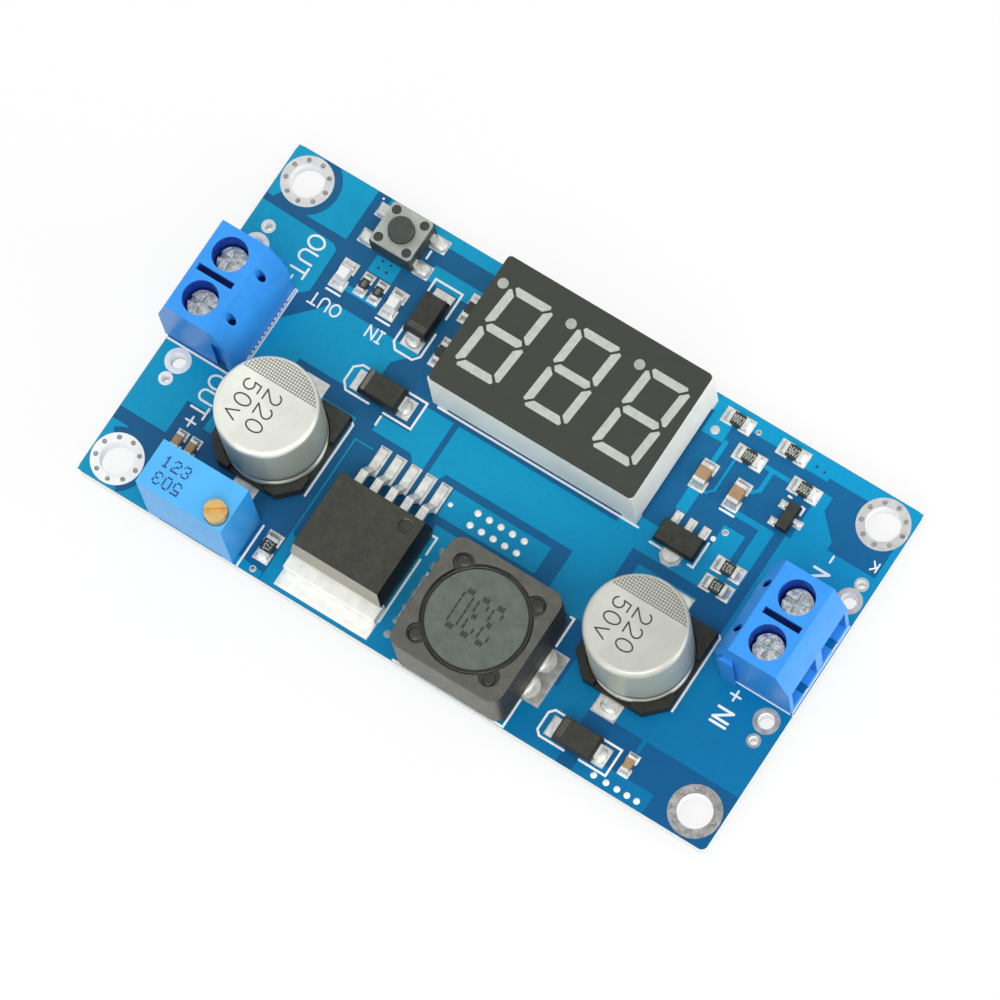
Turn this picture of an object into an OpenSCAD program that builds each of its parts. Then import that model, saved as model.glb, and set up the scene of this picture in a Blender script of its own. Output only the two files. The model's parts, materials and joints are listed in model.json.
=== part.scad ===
// Adjustable step-up converter module with a three-digit meter, all on one circuit board.
// Origin: centre of the four mounting holes, on the underside of the board.
// +X runs from the output terminal to the input terminal, +Y towards the display, +Z up.
// Lengths are millimetres. Heights of the components are measured from the board's top face.

/* [Board] */
// Length of the circuit board
board_l = 70; // [70:0.5:84]
// Width of the circuit board
board_w = 38; // [38:0.5:46]
// Thickness of the circuit board
board_t = 1.6; // [1:0.1:2.4]
// Radius of the board's corners
board_corner_r = 0.6; // [0.2:0.1:2]
// Diameter of the mounting holes
mount_hole_d = 3.4; // [2.6:0.1:3.8]
// Distance of the mounting holes from the board's ends
mount_inset_x = 2.75; // [2.7:0.05:3.3]
// Distance of the mounting holes from the board's long edges
mount_inset_y = 2.8; // [2.7:0.05:3.3]
// Diameter of the tinned ring around a mounting hole
mount_ring_d = 5.2; // [4.6:0.1:5.3]
// Thickness of the tinned pads
pad_t = 0.06; // [0.04:0.01:0.15]
// Length of the trimmed pins below the board
pin_drop = 1.6; // [1.2:0.1:3]
// Play around a pin in its plated hole
pin_play = 0.15; // [0.1:0.05:0.3]
// Hole of a large wire pad
wire_hole_d = 1.6; // [1:0.1:1.8]
// Diameter of a large wire pad
wire_pad_d = 2.6; // [2.2:0.1:2.8]
// Hole of a small wire pad
sense_hole_d = 0.9; // [0.6:0.1:1]
// Diameter of a small wire pad
sense_pad_d = 1.4; // [1.2:0.1:1.6]

/* [Terminal blocks] */
// Distance between the two wire positions
terminal_pitch = 5; // [4.9:0.1:5.4]
// Depth from the wire face to the back
terminal_depth = 8; // [7.8:0.1:9]
// Height above the board
terminal_h = 10; // [9.8:0.1:12]
// How far the output block's wire face stands past the board's end
out_overhang = 0.3; // [-0.5:0.1:0.8]
// How far the input block's wire face stands past the board's end
in_overhang = -0.2; // [-0.5:0.1:0.8]
// Wall between a cage and the end of the block
terminal_wall = 0.6; // [0.6:0.05:0.8]
// Distance of the clamp screws from the wire face
screw_inset = 3.7; // [3.6:0.05:3.9]
// Diameter of a clamp screw's head
screw_head_d = 3; // [2.8:0.05:3.2]
// Height of a clamp screw's head
screw_head_h = 1.6; // [1.2:0.1:1.8]
// Thread diameter of a clamp screw
screw_thread_d = 2.5; // [2:0.1:2.6]
// Gap between a clamp cage at rest and the board
cage_rest_gap = 0.5; // [0.3:0.05:0.7]
// Play around a screw's head in its well
well_play = 0.25; // [0.15:0.05:0.3]
// How far a clamp cage rises when its screw is driven home
cage_travel = 1.35; // [0.9:0.05:1.4]
// Length of a clamp cage along the wire
cage_l = 3.4; // [3:0.1:3.5]
// Height of a clamp cage
cage_h = 3.7; // [3.5:0.05:3.8]
// Radial play of a screw in its thread and in its bearing
thread_play = 0.05; // [0.02:0.01:0.08]

/* [Trimmer] */
// Length of the trimmer
trimmer_l = 9.5; // [9:0.1:10]
// Width of the trimmer
trimmer_w = 4.8; // [4.6:0.1:5]
// Height of the trimmer above the board
trimmer_h = 10; // [9:0.1:11]
// Diameter of the adjusting screw
trimmer_screw_d = 2.2; // [1.8:0.1:2.3]
// How far the adjusting screw stands out of the top
trimmer_screw_out = 1.2; // [0.6:0.1:1.6]
// Radial play of the adjusting screw
trimmer_play = 0.05; // [0.02:0.01:0.08]

/* [Push button] */
// Side of the square switch
switch_w = 4.5; // [4.4:0.1:5]
// Height of the steel cover's top
switch_h = 2.9; // [2.8:0.1:3.4]
// Thickness of the steel cover
switch_cover_t = 0.3; // [0.2:0.05:0.4]
// Diameter of the button
button_d = 2.5; // [2:0.1:2.6]
// How far the button stands above the cover
button_out = 1; // [0.6:0.1:2]
// Travel of the button
button_travel = 0.25; // [0.15:0.05:0.3]

/* [Display] */
// Length of the display's face
display_l = 22.6; // [22:0.1:23]
// Width of the display's face
display_w = 14.1; // [13.6:0.1:14.4]
// Height of the display's face above the board
display_h = 7.7; // [7:0.1:9]
// Height of the corner feet under the display
display_foot_h = 0.6; // [0.4:0.1:0.8]
// Outward draft of the housing at its lower edge
display_draft = 0.05; // [0.05:0.05:0.2]
// Wall of the display's housing
display_wall = 1; // [0.8:0.1:1.2]
// Thickness of the black face sheet
face_t = 0.2; // [0.15:0.05:0.3]
// Distance between two digits
digit_pitch = 7.57; // [7.2:0.01:7.6]
// Height of a digit
digit_h = 9.36; // [8:0.02:9.6]
// Width of a digit
digit_w = 4.87; // [4.4:0.01:5]
// Width of a segment
segment_w = 0.84; // [0.6:0.02:1]
// Slant of the digits in degrees
digit_slant = 4.7; // [0:0.1:10]
// Diameter of a decimal point
dot_d = 1.05; // [0.8:0.01:1.2]

/* [Regulator] */
// Width of the regulator's moulded body
regulator_w = 10.1; // [9.8:0.1:10.4]
// Length of the moulded body from the tab side to the lead side
regulator_l = 8.9; // [8.4:0.1:9.2]
// Height of the regulator
regulator_h = 4.4; // [4:0.1:4.7]
// Thickness of the metal tab
tab_t = 1.3; // [1:0.1:1.5]
// How far the tab stands out of the body
tab_out = 1.35; // [1:0.05:1.6]
// Distance between two leads
lead_pitch = 1.7; // [1.6:0.02:1.8]
// Width of a lead
lead_w = 0.8; // [0.6:0.05:1]

/* [Inductor] */
// Side of the square ferrite shield
inductor_w = 12.2; // [12:0.1:12.6]
// Height of the inductor
inductor_h = 7; // [6:0.1:8]
// Diameter of the drum core
core_d = 9.6; // [9:0.1:10]
// Radial gap between the drum core and the shield
core_gap = 0.5; // [0.3:0.05:0.6]
// Radius of the shield's corners
shield_corner_r = 1.3; // [0.8:0.1:1.8]

/* [Capacitors] */
// Diameter of an aluminium can
can_d = 10; // [9:0.1:10.2]
// Height of the can's top above the board
can_h = 10.25; // [9:0.05:12]
// Side of the square base
can_base_w = 10.3; // [10.3:0.1:10.6]
// Radius of the can's top rim
can_rim_r = 0.6; // [0.4:0.1:1.2]

/* [Small parts] */
// Length of a rectifier's moulded body
diode_l = 4.3; // [4:0.1:4.6]
// Width of a rectifier's moulded body
diode_w = 2.6; // [2.4:0.1:2.8]
// Height of a rectifier
diode_h = 2.2; // [1.9:0.1:2.4]
// Length of a large chip part
chip_l = 2; // [1.8:0.1:2.2]
// Width of a large chip part
chip_w = 1.25; // [1.1:0.05:1.3]
// Length of a small chip part
small_chip_l = 1.6; // [1.5:0.1:1.8]
// Width of a small chip part
small_chip_w = 0.8; // [0.7:0.05:0.9]

/* [Hidden] */
$fn = 48;

// Finishes
board_blue = [0.1, 0.5, 0.72];
tin = [0.8, 0.8, 0.78];
terminal_blue = [0.2, 0.55, 0.93];
zinc = [0.75, 0.77, 0.74];
trimmer_blue = [0.37, 0.7, 1];
brass = [0.84, 0.68, 0.4];
black_plastic = [0.2, 0.2, 0.2];
steel = [0.72, 0.73, 0.7];
display_white = [0.88, 0.9, 0.88];
face_black = [0.2, 0.2, 0.19];
segment_grey = [0.8, 0.82, 0.78];
carrier_green = [0.2, 0.4, 0.25];
ferrite = [0.4, 0.39, 0.38];
copper = [0.75, 0.45, 0.25];
glue_black = [0.15, 0.15, 0.15];
aluminium = [0.87, 0.88, 0.85];
ceramic_tan = [0.7, 0.53, 0.37];
led_white = [0.93, 0.93, 0.88];

// Overlap of a cutter past the face that it opens
cut = 1;
// Edges of the board, and the height on which soldered parts stand
far_edge = board_w / 2;
near_edge = -board_w / 2;
seat = board_t + pad_t;
// Reach of a chip part's pad past the part
chip_pad_out = 0.6;

// Places of the components: percent of the way from the board's centre to its end, then the distance from
// the far edge, so that the gaps between the components follow the board
switch_at = [-60.2, 3];
display_at = [3.91, 7.8];
transistor_at = [69.86, 7];
output_led_at = [-68.86, 8.8];
input_led_at = [-52.71, 8.8];
diode_1_at = [-42.43, 8.45];
far_resistors_at = [[61.29, 1.35], [52, 3.9], [69.43, 3.9]];
small_resistors_at = [[-62.57, 8.6], [-58.14, 8.6]];
capacitors_at = [[44.29, 7.6], [54.86, 7.6]];
// The same from the near edge
regulator_at = [-22.14, 3.4];
inductor_at = [18.94, 6.15];
output_capacitor_at = [-58.43, 12.4];
input_capacitor_at = [57.29, 12.8];
diode_3_at = [55.86, 2.65];
near_resistor_at = [-43.71, 3.1];
small_capacitors_at = [[-80.86, 7.2], [-76.57, 7.2], [70.57, 3.25]];
// The same from the middle of the board's width
diode_2_at = [-40.86, 2.25];
logic_regulator_at = [48.86, 4.73];
middle_resistors_at = [[64, 4.9], [64, 2.85]];
trimmer_share = -63;
out_terminal_y = 1.5;
in_terminal_y = 1.25;
// One resistor lies beside the display, and two stand between the first rectifier and the display
side_resistor_gap = 1.08;
side_resistor_inset = 1.4;
sense_resistor_insets = [5.4, 10.45];

function along_board(share) = share / 100 * board_l / 2;
function from_far_edge(at) = [along_board(at[0]), far_edge - at[1]];
function from_near_edge(at) = [along_board(at[0]), near_edge + at[1]];
function from_middle(at) = [along_board(at[0]), at[1]];
function turned(place, angle) = [place[0], place[1], angle];

mount_x = board_l / 2 - mount_inset_x;
mount_y = board_w / 2 - mount_inset_y;
trimmer_x = along_board(trimmer_share);
switch_place = from_far_edge(switch_at);
display_place = from_far_edge(display_at);
regulator_place = from_near_edge(regulator_at);
inductor_place = from_near_edge(inductor_at);
output_capacitor_place = from_near_edge(output_capacitor_at);
input_capacitor_place = from_near_edge(input_capacitor_at);
logic_regulator_place = from_middle(logic_regulator_at);
transistor_place = from_far_edge(transistor_at);
output_led_place = from_far_edge(output_led_at);
input_led_place = from_far_edge(input_led_at);
// Rectifiers, each with the cathode on its own -X side
diode_places = [
    turned(from_far_edge(diode_1_at), 90),
    turned(from_middle(diode_2_at), 0),
    turned(from_near_edge(diode_3_at), 0)];
display_end = display_l / 2 + display_draft;
side_resistor_x = display_place[0] + display_end + side_resistor_gap + chip_pad_out + chip_l / 2;
sense_resistor_x = (diode_places[0][0] + diode_w / 2 + display_place[0] - display_end) / 2;
resistor_places = concat(
    [[side_resistor_x, far_edge - side_resistor_inset, 0]],
    [for (at = far_resistors_at) turned(from_far_edge(at), 0)],
    [for (at = middle_resistors_at) turned(from_middle(at), 0)],
    [turned(from_near_edge(near_resistor_at), 90)],
    [for (inset = sense_resistor_insets) [sense_resistor_x, far_edge - inset, 90]]);
small_resistor_places = [for (at = small_resistors_at) turned(from_far_edge(at), 90)];
capacitor_places = [for (at = capacitors_at) turned(from_far_edge(at), 90)];
small_capacitor_places = [for (at = small_capacitors_at) turned(from_near_edge(at), 90)];

// Wire pads beside the terminal blocks, for the output and the input end, on the near and the far side:
// distance from the board's end, gap to the block, and step from the large pad to the small one
wire_pad_insets = [[2.25, 2.1], [1.8, 1.5]];
wire_pad_gaps = [[0.35, 0.5], [0.45, 0.7]];
sense_pad_insets = [[2.2, 2.1], [1.8, 1.35]];
sense_pad_steps = [[2.05, 2.2], [2.2, 1.95]];
terminal_ys = [out_terminal_y, in_terminal_y];

function pad_x(end, inset) = (2 * end - 1) * (board_l / 2 - inset);
function pad_y(end, side, step) =
    terminal_ys[end] + (2 * side - 1) * (terminal_pitch + wire_pad_gaps[end][side] + wire_pad_d / 2 + step);

wire_pad_places = [
    for (end = [0, 1], side = [0, 1])
        [pad_x(end, wire_pad_insets[end][side]), pad_y(end, side, 0)]];
sense_pad_places = [
    for (end = [0, 1], side = [0, 1])
        [pad_x(end, sense_pad_insets[end][side]), pad_y(end, side, sense_pad_steps[end][side])]];

// Terminal block: slopes of its top, and its moulded details
terminal_w = 2 * terminal_pitch;
front_slope = [1.25, 4.2];
back_slope = [1.6, 3.4];
well_d = screw_head_d + 2 * well_play;
thread_bore_d = screw_thread_d + 2 * thread_play;
cage_side_play = 0.15;
cage_end_play = 0.25;
cage_w = terminal_pitch - 2 * (terminal_wall + cage_side_play);
cage_wall = 0.4;
cage_floor_t = 0.5;
cage_roof_t = 0.9;
bearing_play = 0.05;
shelf_t = 0.5;
cage_top_play = 0.1;
cage_bottom = cage_rest_gap;
shelf_top = cage_bottom + cage_h + cage_travel + cage_top_play + shelf_t;
head_bottom = shelf_top + bearing_play;
strip_t = 0.6;
strip_w = 2.2;
strip_play = 0.1;
strip_top = cage_bottom + cage_h - cage_roof_t - strip_play;
leg_play = 0.35;
leg_back = screw_inset + cage_l / 2 + cage_end_play + strip_t + leg_play;
contact_pin_w = 1;
tip_gap = 0.12;
screw_tip = strip_top + tip_gap;
bay_depth = 1.3;
bay_wall = 0.5;
bay_floor = 0.9;
bay_lintel = 0.3;
bay_roof = terminal_h - front_slope[1] - bay_lintel;
bay_notch_w = 0.9;
driver_slot_w = 0.55;
driver_slot_depth = 0.7;
driver_cross_l = 2;
top_slot = [4, 0.68, 3.2];
probe_hole_d = 0.85;
probe_hole_inset = 1.04;
dovetail_depth = 0.45;
dovetail_root = 1;
dovetail_tip = 1.6;
dovetail_play = 0.08;
dovetail_inset = 1.4;

// Trimmer: feet, pins and screw
trimmer_foot_h = 0.4;
trimmer_foot_l = 1.2;
trimmer_y = near_edge + trimmer_w / 2;
trimmer_pin_pitch = 2.54;
trimmer_pin_w = 0.5;
trimmer_screw_inset = 1.3;
trimmer_screw_place = [trimmer_l / 2 - trimmer_screw_inset, trimmer_screw_inset - trimmer_w / 2];
trimmer_bore_depth = 3;
trimmer_slot_w = 0.5;
trimmer_slot_depth = 0.55;
trimmer_slot_turn = 33;

// Push button: rivets, pocket, dome and legs
rivet_d = 0.95;
rivet_inset = 0.67;
rivet_place = switch_w / 2 - rivet_inset;
switch_corner_r = 0.35;
switch_floor = 0.9;
switch_gap_below = 0.1;
switch_base_top = switch_h - switch_cover_t;
button_play = 0.05;
button_flange_w = 0.35;
button_flange_t = 0.5;
flange_play = 0.03;
button_flange_top = switch_base_top - flange_play;
pocket_play = 0.15;
pocket_d = button_d + 2 * (button_flange_w + pocket_play);
dome_play = 0.1;
dome_d = pocket_d - 2 * dome_play;
dome_pressed_h = 0.2;
dome_rise = button_travel + dome_pressed_h;
dome_t = 0.1;
button_nub_d = 1;
button_nub_gap = 0.03;
button_bevel = 0.15;
switch_leg_w = 0.75;
switch_pad_w = 1.5;
switch_leg_t = 0.2;
switch_leg_y = 1.5;
switch_leg_out = 1.35;
switch_leg_reach = switch_w / 2 + switch_leg_out;
switch_leg_rise = 1.1;

// Display: feet, carrier, pins and segments
display_base_l = display_l + 2 * display_draft;
display_base_w = display_w + 2 * display_draft;
display_corner_r = 0.45;
display_foot_l = 1.6;
housing_top = display_h - face_t;
display_roof_t = 1.2;
carrier_t = 0.8;
carrier_recess = 1;
carrier_bottom = display_foot_h + carrier_recess;
display_pin_pitch = 2.54;
display_row_inset = 1.97;
display_row_gap = display_w - 2 * display_row_inset;
display_pin_w = 0.5;
display_row_pins = [6, 5];
corner_gap = 0.46;
waist_gap = 0.27;
bar_tip = 0.25;
bar_blunt = 0.14;
bar_mitre = 0.55;
waist_bar_l = 3.96;
waist_bar_point = 0.34;
digit_shift = [0.19, 0.09];
dot_shift = [-0.455, -0.42];

// Microcontroller under the display
chip_body = [6.5, 4.4, 1];
chip_lead_count = 10;
chip_lead_pitch = 0.65;
chip_lead_w = 0.25;
chip_lead_t = 0.15;
chip_lead_reach = 1;
chip_shift_y = -0.4;

// Regulator: bevels, tab and leads
regulator_draft = 0.35;
regulator_waist = 2;
tab_margin = 0.05;
tab_under = 6.5;
tab_grip = 0.5;
tab_neck = 0.9;
lead_count = 5;
lead_t = 0.5;
lead_level = 2;
lead_reach = 4.4;
lead_bend = 2.1;
lead_knee = 0.65;
regulator_dimple_d = 1.4;
regulator_dimple_depth = 0.25;
regulator_dimple_inset = [1.75, 1.6];

// Inductor: clips, drum and glue
clip_t = 0.25;
bore_d = core_d + 2 * core_gap;
ear_r = 1;
ear_place = 3.95;
flange_t = 1.5;
post_d = 4.6;
winding_inset = 0.2;
winding_d = core_d - 2 * winding_inset;
core_recess = 0.15;
glue_t = 1.2;
clip_w = 5.2;
clip_out = 1.1;
clip_under = 2.4;
clip_lobe_gap = 0.5;

// Aluminium capacitors: base, crimp and leads
can_lead_t = 0.25;
can_lead_w = 1.2;
can_lead_out = 0.7;
can_lead_in = 1.6;
base_floor_t = 0.5;
base_post_h = 1.6;
base_chamfer = 1.9;
base_pocket_play = 0.1;
base_side_gap = 4;
crimp_z = 2.15;
crimp_depth = 0.42;
crimp_shoulder = 0.45;
crimp_lip = 0.45;
can_foot_r = 0.6;

// Rectifiers
diode_draft = 0.2;
diode_gap_below = 0.1;
diode_lead_w = 1.45;
diode_lead_t = 0.2;
diode_lead_level = 1.1;
diode_lead_under = 1;

// Three-lead parts
logic_body = [4.5, 2.5, 1.5];
logic_lead_pitch = 1.5;
logic_lead_w = 0.45;
logic_draft = 0.2;
logic_lead_t = 0.4;
logic_lead_out = 1;
logic_tab_w = 1.75;
logic_tab_out = 0.95;
logic_pad_cut = 0.65;
transistor_size = [1.3, 2.9, 1];
transistor_gap_below = 0.1;
transistor_lead_w = 0.42;
transistor_lead_t = 0.12;
transistor_lead_out = 0.5;
transistor_lead_y = 0.95;
transistor_lead_level = 0.5;
transistor_leads_at = [[-1, transistor_lead_y], [-1, -transistor_lead_y], [1, 0]];

// Chip parts: end caps and heights
chip_cap = 0.4;
small_chip_cap = 0.3;
resistor_h = 0.55;
small_resistor_h = 0.45;
capacitor_h = 1.1;
small_capacitor_h = 0.8;
led_base_t = 0.35;
led_h = 0.95;
led_dome_l = 1.25;
led_draft = 0.12;

// Tinned pads: reach past a part's terminals
chip_pad_in = 0.25;
chip_pad_side = 0.2;
small_chip_pad_out = 0.45;
lead_pad_side = 0.2;
lead_pad_out = 0.35;
tab_pad_out = 1.65;
can_pad_w = 2.6;
can_pad_out = 1.85;
clip_pad_out = 0.75;
diode_pad_w = 2.1;
diode_pad_out = 0.9;

// Solder under a pin
solder_d = 2;
solder_tip_d = 1;
solder_h = 0.8;
big_solder_d = 2.6;
big_solder_tip_d = 1.6;

// Places and helpers
mount_places = [for (sx = [-1, 1], sy = [-1, 1]) [sx * mount_x, sy * mount_y]];

function arc(centre, r, from, to, steps = 6) =
    [for (i = [0:steps])
        let (angle = from + (to - from) * i / steps)
            centre + r * [cos(angle), sin(angle)]];

module box(size, at) translate(at) cube(size);

module slab(size, at = [0, 0, 0]) translate(at - [size[0] / 2, size[1] / 2, 0]) cube(size);

module at_place(place, z = board_t) {
    translate([place[0], place[1], z])
        rotate([0, 0, len(place) > 2 ? place[2] : 0])
            children();
}

module rounded_square(l, w, r) {
    polygon(concat(
        arc([l / 2 - r, w / 2 - r], r, 0, 90),
        arc([r - l / 2, w / 2 - r], r, 90, 180),
        arc([r - l / 2, r - w / 2], r, 180, 270),
        arc([l / 2 - r, r - w / 2], r, 270, 360)));
}

// A profile in X and Z, carried along Y for a given width
module along_y(width, y = 0)
    translate([0, y, 0])
        rotate([90, 0, 0])
            linear_extrude(width, center = true)
                children();

// A profile in Y and Z, carried along X for a given width
module along_x(width, x = 0) {
    translate([x, 0, 0]) rotate([90, 0, 90]) linear_extrude(width, center = true) children();
}

// Two sides of a moulded body that narrow upwards and downwards from a parting line
module drafted_profile(l, h, draft, waist) {
    polygon([
        [-l / 2 + draft / 2, 0], [l / 2 - draft / 2, 0], [l / 2, waist],
        [l / 2 - draft, h], [-l / 2 + draft, h], [-l / 2, waist]]);
}

module drafted_body(l, w, h, draft, waist) {
    intersection() {
        along_y(w + cut) drafted_profile(l, h, draft, waist);
        along_x(l + cut) drafted_profile(w, h, draft, waist);
    }
}

// A gull-wing lead in the X and Z plane: from a body's side at X = 0, down to a foot at Z = 0
module gull_profile(reach, bend, level, t, knee = 0.5) {
    polygon([
        [0, level], [0, level + t], [bend * knee, level + t], [bend + t / 2, t],
        [reach, t], [reach, 0], [bend - t / 2, 0], [bend * knee - t / 2, level]]);
}

// Through pins: every place where a pin crosses the board
module at_contact_pins() {
    for (side = [-1, 1], pole = [1, 2])
        at_pole(side, pole)
            translate([leg_back - strip_t / 2, 0, 0])
                children();
}

module at_trimmer_pins() {
    for (i = [-1:1])
        translate([trimmer_x + i * trimmer_pin_pitch, trimmer_y, board_t])
            children();
}

module at_display_pins() {
    for (row = [0, 1], i = [0:display_row_pins[row] - 1])
        at_place(display_place)
            translate([
                    (i - (display_row_pins[0] - 1) / 2) * display_pin_pitch,
                    (row - 0.5) * display_row_gap, 0])
                children();
}

// Circuit board
module circuit_board() {
    color(board_blue)
        difference() {
            linear_extrude(board_t)
                rounded_square(board_l, board_w, board_corner_r);
            for (p = mount_places)
                translate([p[0], p[1], -cut])
                    cylinder(d = mount_hole_d, h = board_t + 2 * cut);
            for (p = wire_pad_places)
                translate([p[0], p[1], -cut])
                    cylinder(d = wire_hole_d, h = board_t + 2 * cut);
            for (p = sense_pad_places)
                translate([p[0], p[1], -cut])
                    cylinder(d = sense_hole_d, h = board_t + 2 * cut);
            at_contact_pins()
                pin_hole(contact_pin_w);
            at_trimmer_pins()
                pin_hole(trimmer_pin_w);
            at_display_pins()
                pin_hole(display_pin_w);
        }
}

// Round hole that takes a square pin with play at its corners
module pin_hole(pin_w) {
    translate([0, 0, -board_t - cut])
        cylinder(d = pin_w * sqrt(2) + 2 * pin_play, h = board_t + 2 * cut);
}

module ring_pad(place, outer_d, inner_d) {
    for (z = [board_t, -pad_t])
        translate([place[0], place[1], z])
            difference() {
                cylinder(d = outer_d, h = pad_t);
                translate([0, 0, -cut])
                    cylinder(d = inner_d, h = pad_t + 2 * cut);
            }
}

// Two pads under the ends of a chip part that lies along its own X
module chip_pads(l, w, cap, out) {
    for (s = [-1, 1])
        slab([cap + chip_pad_in + out, w + 2 * chip_pad_side, pad_t],
            [s * (l / 2 + (out - cap - chip_pad_in) / 2), 0, 0]);
}

module tinned_pads() {
    color(tin) {
        for (p = mount_places)
            ring_pad(p, mount_ring_d, mount_hole_d);
        for (p = wire_pad_places)
            ring_pad(p, wire_pad_d, wire_hole_d);
        for (p = sense_pad_places)
            ring_pad(p, sense_pad_d, sense_hole_d);
        for (p = concat(resistor_places, capacitor_places, [output_led_place, input_led_place]))
            at_place(len(p) > 2 ? p : [p[0], p[1], 90])
                chip_pads(chip_l, chip_w, chip_cap, chip_pad_out);
        for (p = concat(small_resistor_places, small_capacitor_places))
            at_place(p)
                chip_pads(small_chip_l, small_chip_w, small_chip_cap, small_chip_pad_out);
        for (p = diode_places, s = [-1, 1])
            at_place(p)
                slab([diode_lead_under + diode_lead_t + diode_pad_out, diode_pad_w, pad_t],
                    [s * (diode_l / 2 + (diode_pad_out + diode_lead_t - diode_lead_under) / 2), 0, 0]);
        for (p = [output_capacitor_place, input_capacitor_place], s = [-1, 1])
            at_place(p)
                slab([can_pad_w, can_base_w / 2 + can_pad_out - can_lead_in, pad_t],
                    [0, s * (can_lead_in + can_base_w / 2 + can_pad_out) / 2, 0]);
        regulator_pads();
        inductor_pads();
        switch_pads();
        three_lead_pads();
        microcontroller_pads();
    }
}

module regulator_pads() {
    at_place(regulator_place) {
        slab([regulator_w + 2 * tab_margin + lead_pad_side, tab_grip + tab_out + tab_pad_out, pad_t],
            [0, (tab_grip - tab_out - tab_pad_out) / 2, 0]);
        slab([regulator_w - 2 * tab_neck, tab_under, pad_t], [0, tab_under / 2, 0]);
        for (i = [0:lead_count - 1])
            slab([lead_w + 2 * lead_pad_side, lead_reach - lead_bend + 2 * lead_pad_out, pad_t],
                [(i - (lead_count - 1) / 2) * lead_pitch, regulator_l + (lead_reach + lead_bend) / 2, 0]);
    }
}

module inductor_pads() {
    at_place(inductor_place)
        for (s = [-1, 1])
            slab([clip_under + clip_out + clip_pad_out, clip_w + 2 * lead_pad_side, pad_t],
                [s * (inductor_w - clip_under + clip_out + clip_pad_out) / 2, 0, 0]);
}

module switch_pads() {
    at_place(switch_place)
        for (sx = [-1, 1], sy = [-1, 1])
            slab([switch_leg_reach - switch_w / 2 + lead_pad_out, switch_pad_w, pad_t],
                [sx * (switch_leg_reach + switch_w / 2 + lead_pad_out) / 2, sy * switch_leg_y, 0]);
}

module three_lead_pads() {
    at_place(logic_regulator_place) {
        for (i = [-1:1])
            slab([logic_lead_w + 2 * lead_pad_side, logic_lead_out + lead_pad_out, pad_t],
                [i * logic_lead_pitch, (logic_body[1] + logic_lead_out + lead_pad_out) / 2, 0]);
        tab_pad(logic_tab_w / 2 + lead_pad_side, logic_body[1] / 2 + logic_tab_out + lead_pad_out);
    }
    at_place(transistor_place)
        for (p = transistor_leads_at)
            slab([transistor_lead_out + lead_pad_out, transistor_lead_w + 2 * lead_pad_side, pad_t],
                [p[0] * (transistor_size[0] + transistor_lead_out + lead_pad_out) / 2, p[1], 0]);
}

// Pad of the tab, with cut corners at its free end
module tab_pad(half, reach) {
    linear_extrude(pad_t)
        polygon([
            [-half, 0], [-half, logic_pad_cut - reach], [logic_pad_cut - half, -reach],
            [half - logic_pad_cut, -reach], [half, logic_pad_cut - reach], [half, 0]]);
}

module microcontroller_pads() {
    at_place(display_place)
        for (s = [-1, 1], i = [0:chip_lead_count - 1])
            slab([chip_lead_w, chip_lead_reach, pad_t],
                [(i - (chip_lead_count - 1) / 2) * chip_lead_pitch,
                    chip_shift_y + s * (chip_body[1] + chip_lead_reach) / 2, 0]);
}

// Solder cones under the board, one round each through pin
module solder_joints() {
    color(tin) {
        at_contact_pins()
            solder_cone(big_solder_d, big_solder_tip_d, [strip_t, contact_pin_w]);
        at_trimmer_pins()
            solder_cone(solder_d, solder_tip_d, [trimmer_pin_w, trimmer_pin_w]);
        at_display_pins()
            solder_cone(solder_d, solder_tip_d, [display_pin_w, display_pin_w]);
    }
}

module solder_cone(d, tip_d, pin) {
    translate([0, 0, -board_t - solder_h])
        difference() {
            cylinder(d1 = tip_d, d2 = d, h = solder_h);
            slab([pin[0], pin[1], solder_h + 2 * cut], [0, 0, -cut]);
        }
}

// Terminal blocks: own frame with X from the wire face inwards and Z from the board's top
module at_terminal(side) {
    overhang = side < 0 ? out_overhang : in_overhang;
    y = side < 0 ? out_terminal_y : in_terminal_y;
    translate([side * (board_l / 2 + overhang), y, board_t])
        rotate([0, 0, side < 0 ? 0 : 180])
            children();
}

module at_pole(side, pole) {
    at_terminal(side)
        translate([0, (pole - 1.5) * terminal_pitch, 0])
            children();
}

module terminal_profile() {
    polygon([
        [0, 0], [terminal_depth, 0], [terminal_depth, terminal_h - back_slope[1]],
        [terminal_depth - back_slope[0], terminal_h], [front_slope[0], terminal_h],
        [0, terminal_h - front_slope[1]]]);
}

// Dovetail that locks one block to the next, seen from above
module dovetail(play, depth) {
    polygon([
        [-dovetail_root / 2 - play, 0], [dovetail_root / 2 + play, 0],
        [dovetail_tip / 2 + play, depth], [-dovetail_tip / 2 - play, depth]]);
}

// Everything that is open at one wire position: bay, wire hole, cage room, screw well
module pole_openings() {
    room_w = cage_w + 2 * cage_side_play;
    room_l = cage_l + 2 * cage_end_play;
    bay_w = terminal_pitch - 2 * bay_wall;
    translate([screw_inset, 0, shelf_top])
        cylinder(d = well_d, h = terminal_h);
    translate([screw_inset, 0, 0])
        cylinder(d = thread_bore_d, h = terminal_h);
    slab([room_l, room_w, shelf_top - shelf_t + cut], [screw_inset, 0, -cut]);
    box([leg_back - screw_inset, strip_w + 2 * strip_play, strip_top + strip_play + cut],
        [screw_inset, -strip_w / 2 - strip_play, -cut]);
    box([bay_depth + cut, bay_w, bay_roof - bay_floor], [-cut, -bay_w / 2, bay_floor]);
    box([bay_depth + cut, bay_notch_w, bay_floor + 2 * cut], [-cut, -bay_notch_w / 2, -cut]);
    box([screw_inset, cage_w - 2 * cage_wall, strip_top - bay_floor + strip_play],
        [0, -cage_w / 2 + cage_wall, bay_floor]);
    translate([terminal_depth - probe_hole_inset, 0, strip_top + cut])
        cylinder(d = probe_hole_d, h = terminal_h);
}

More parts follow.
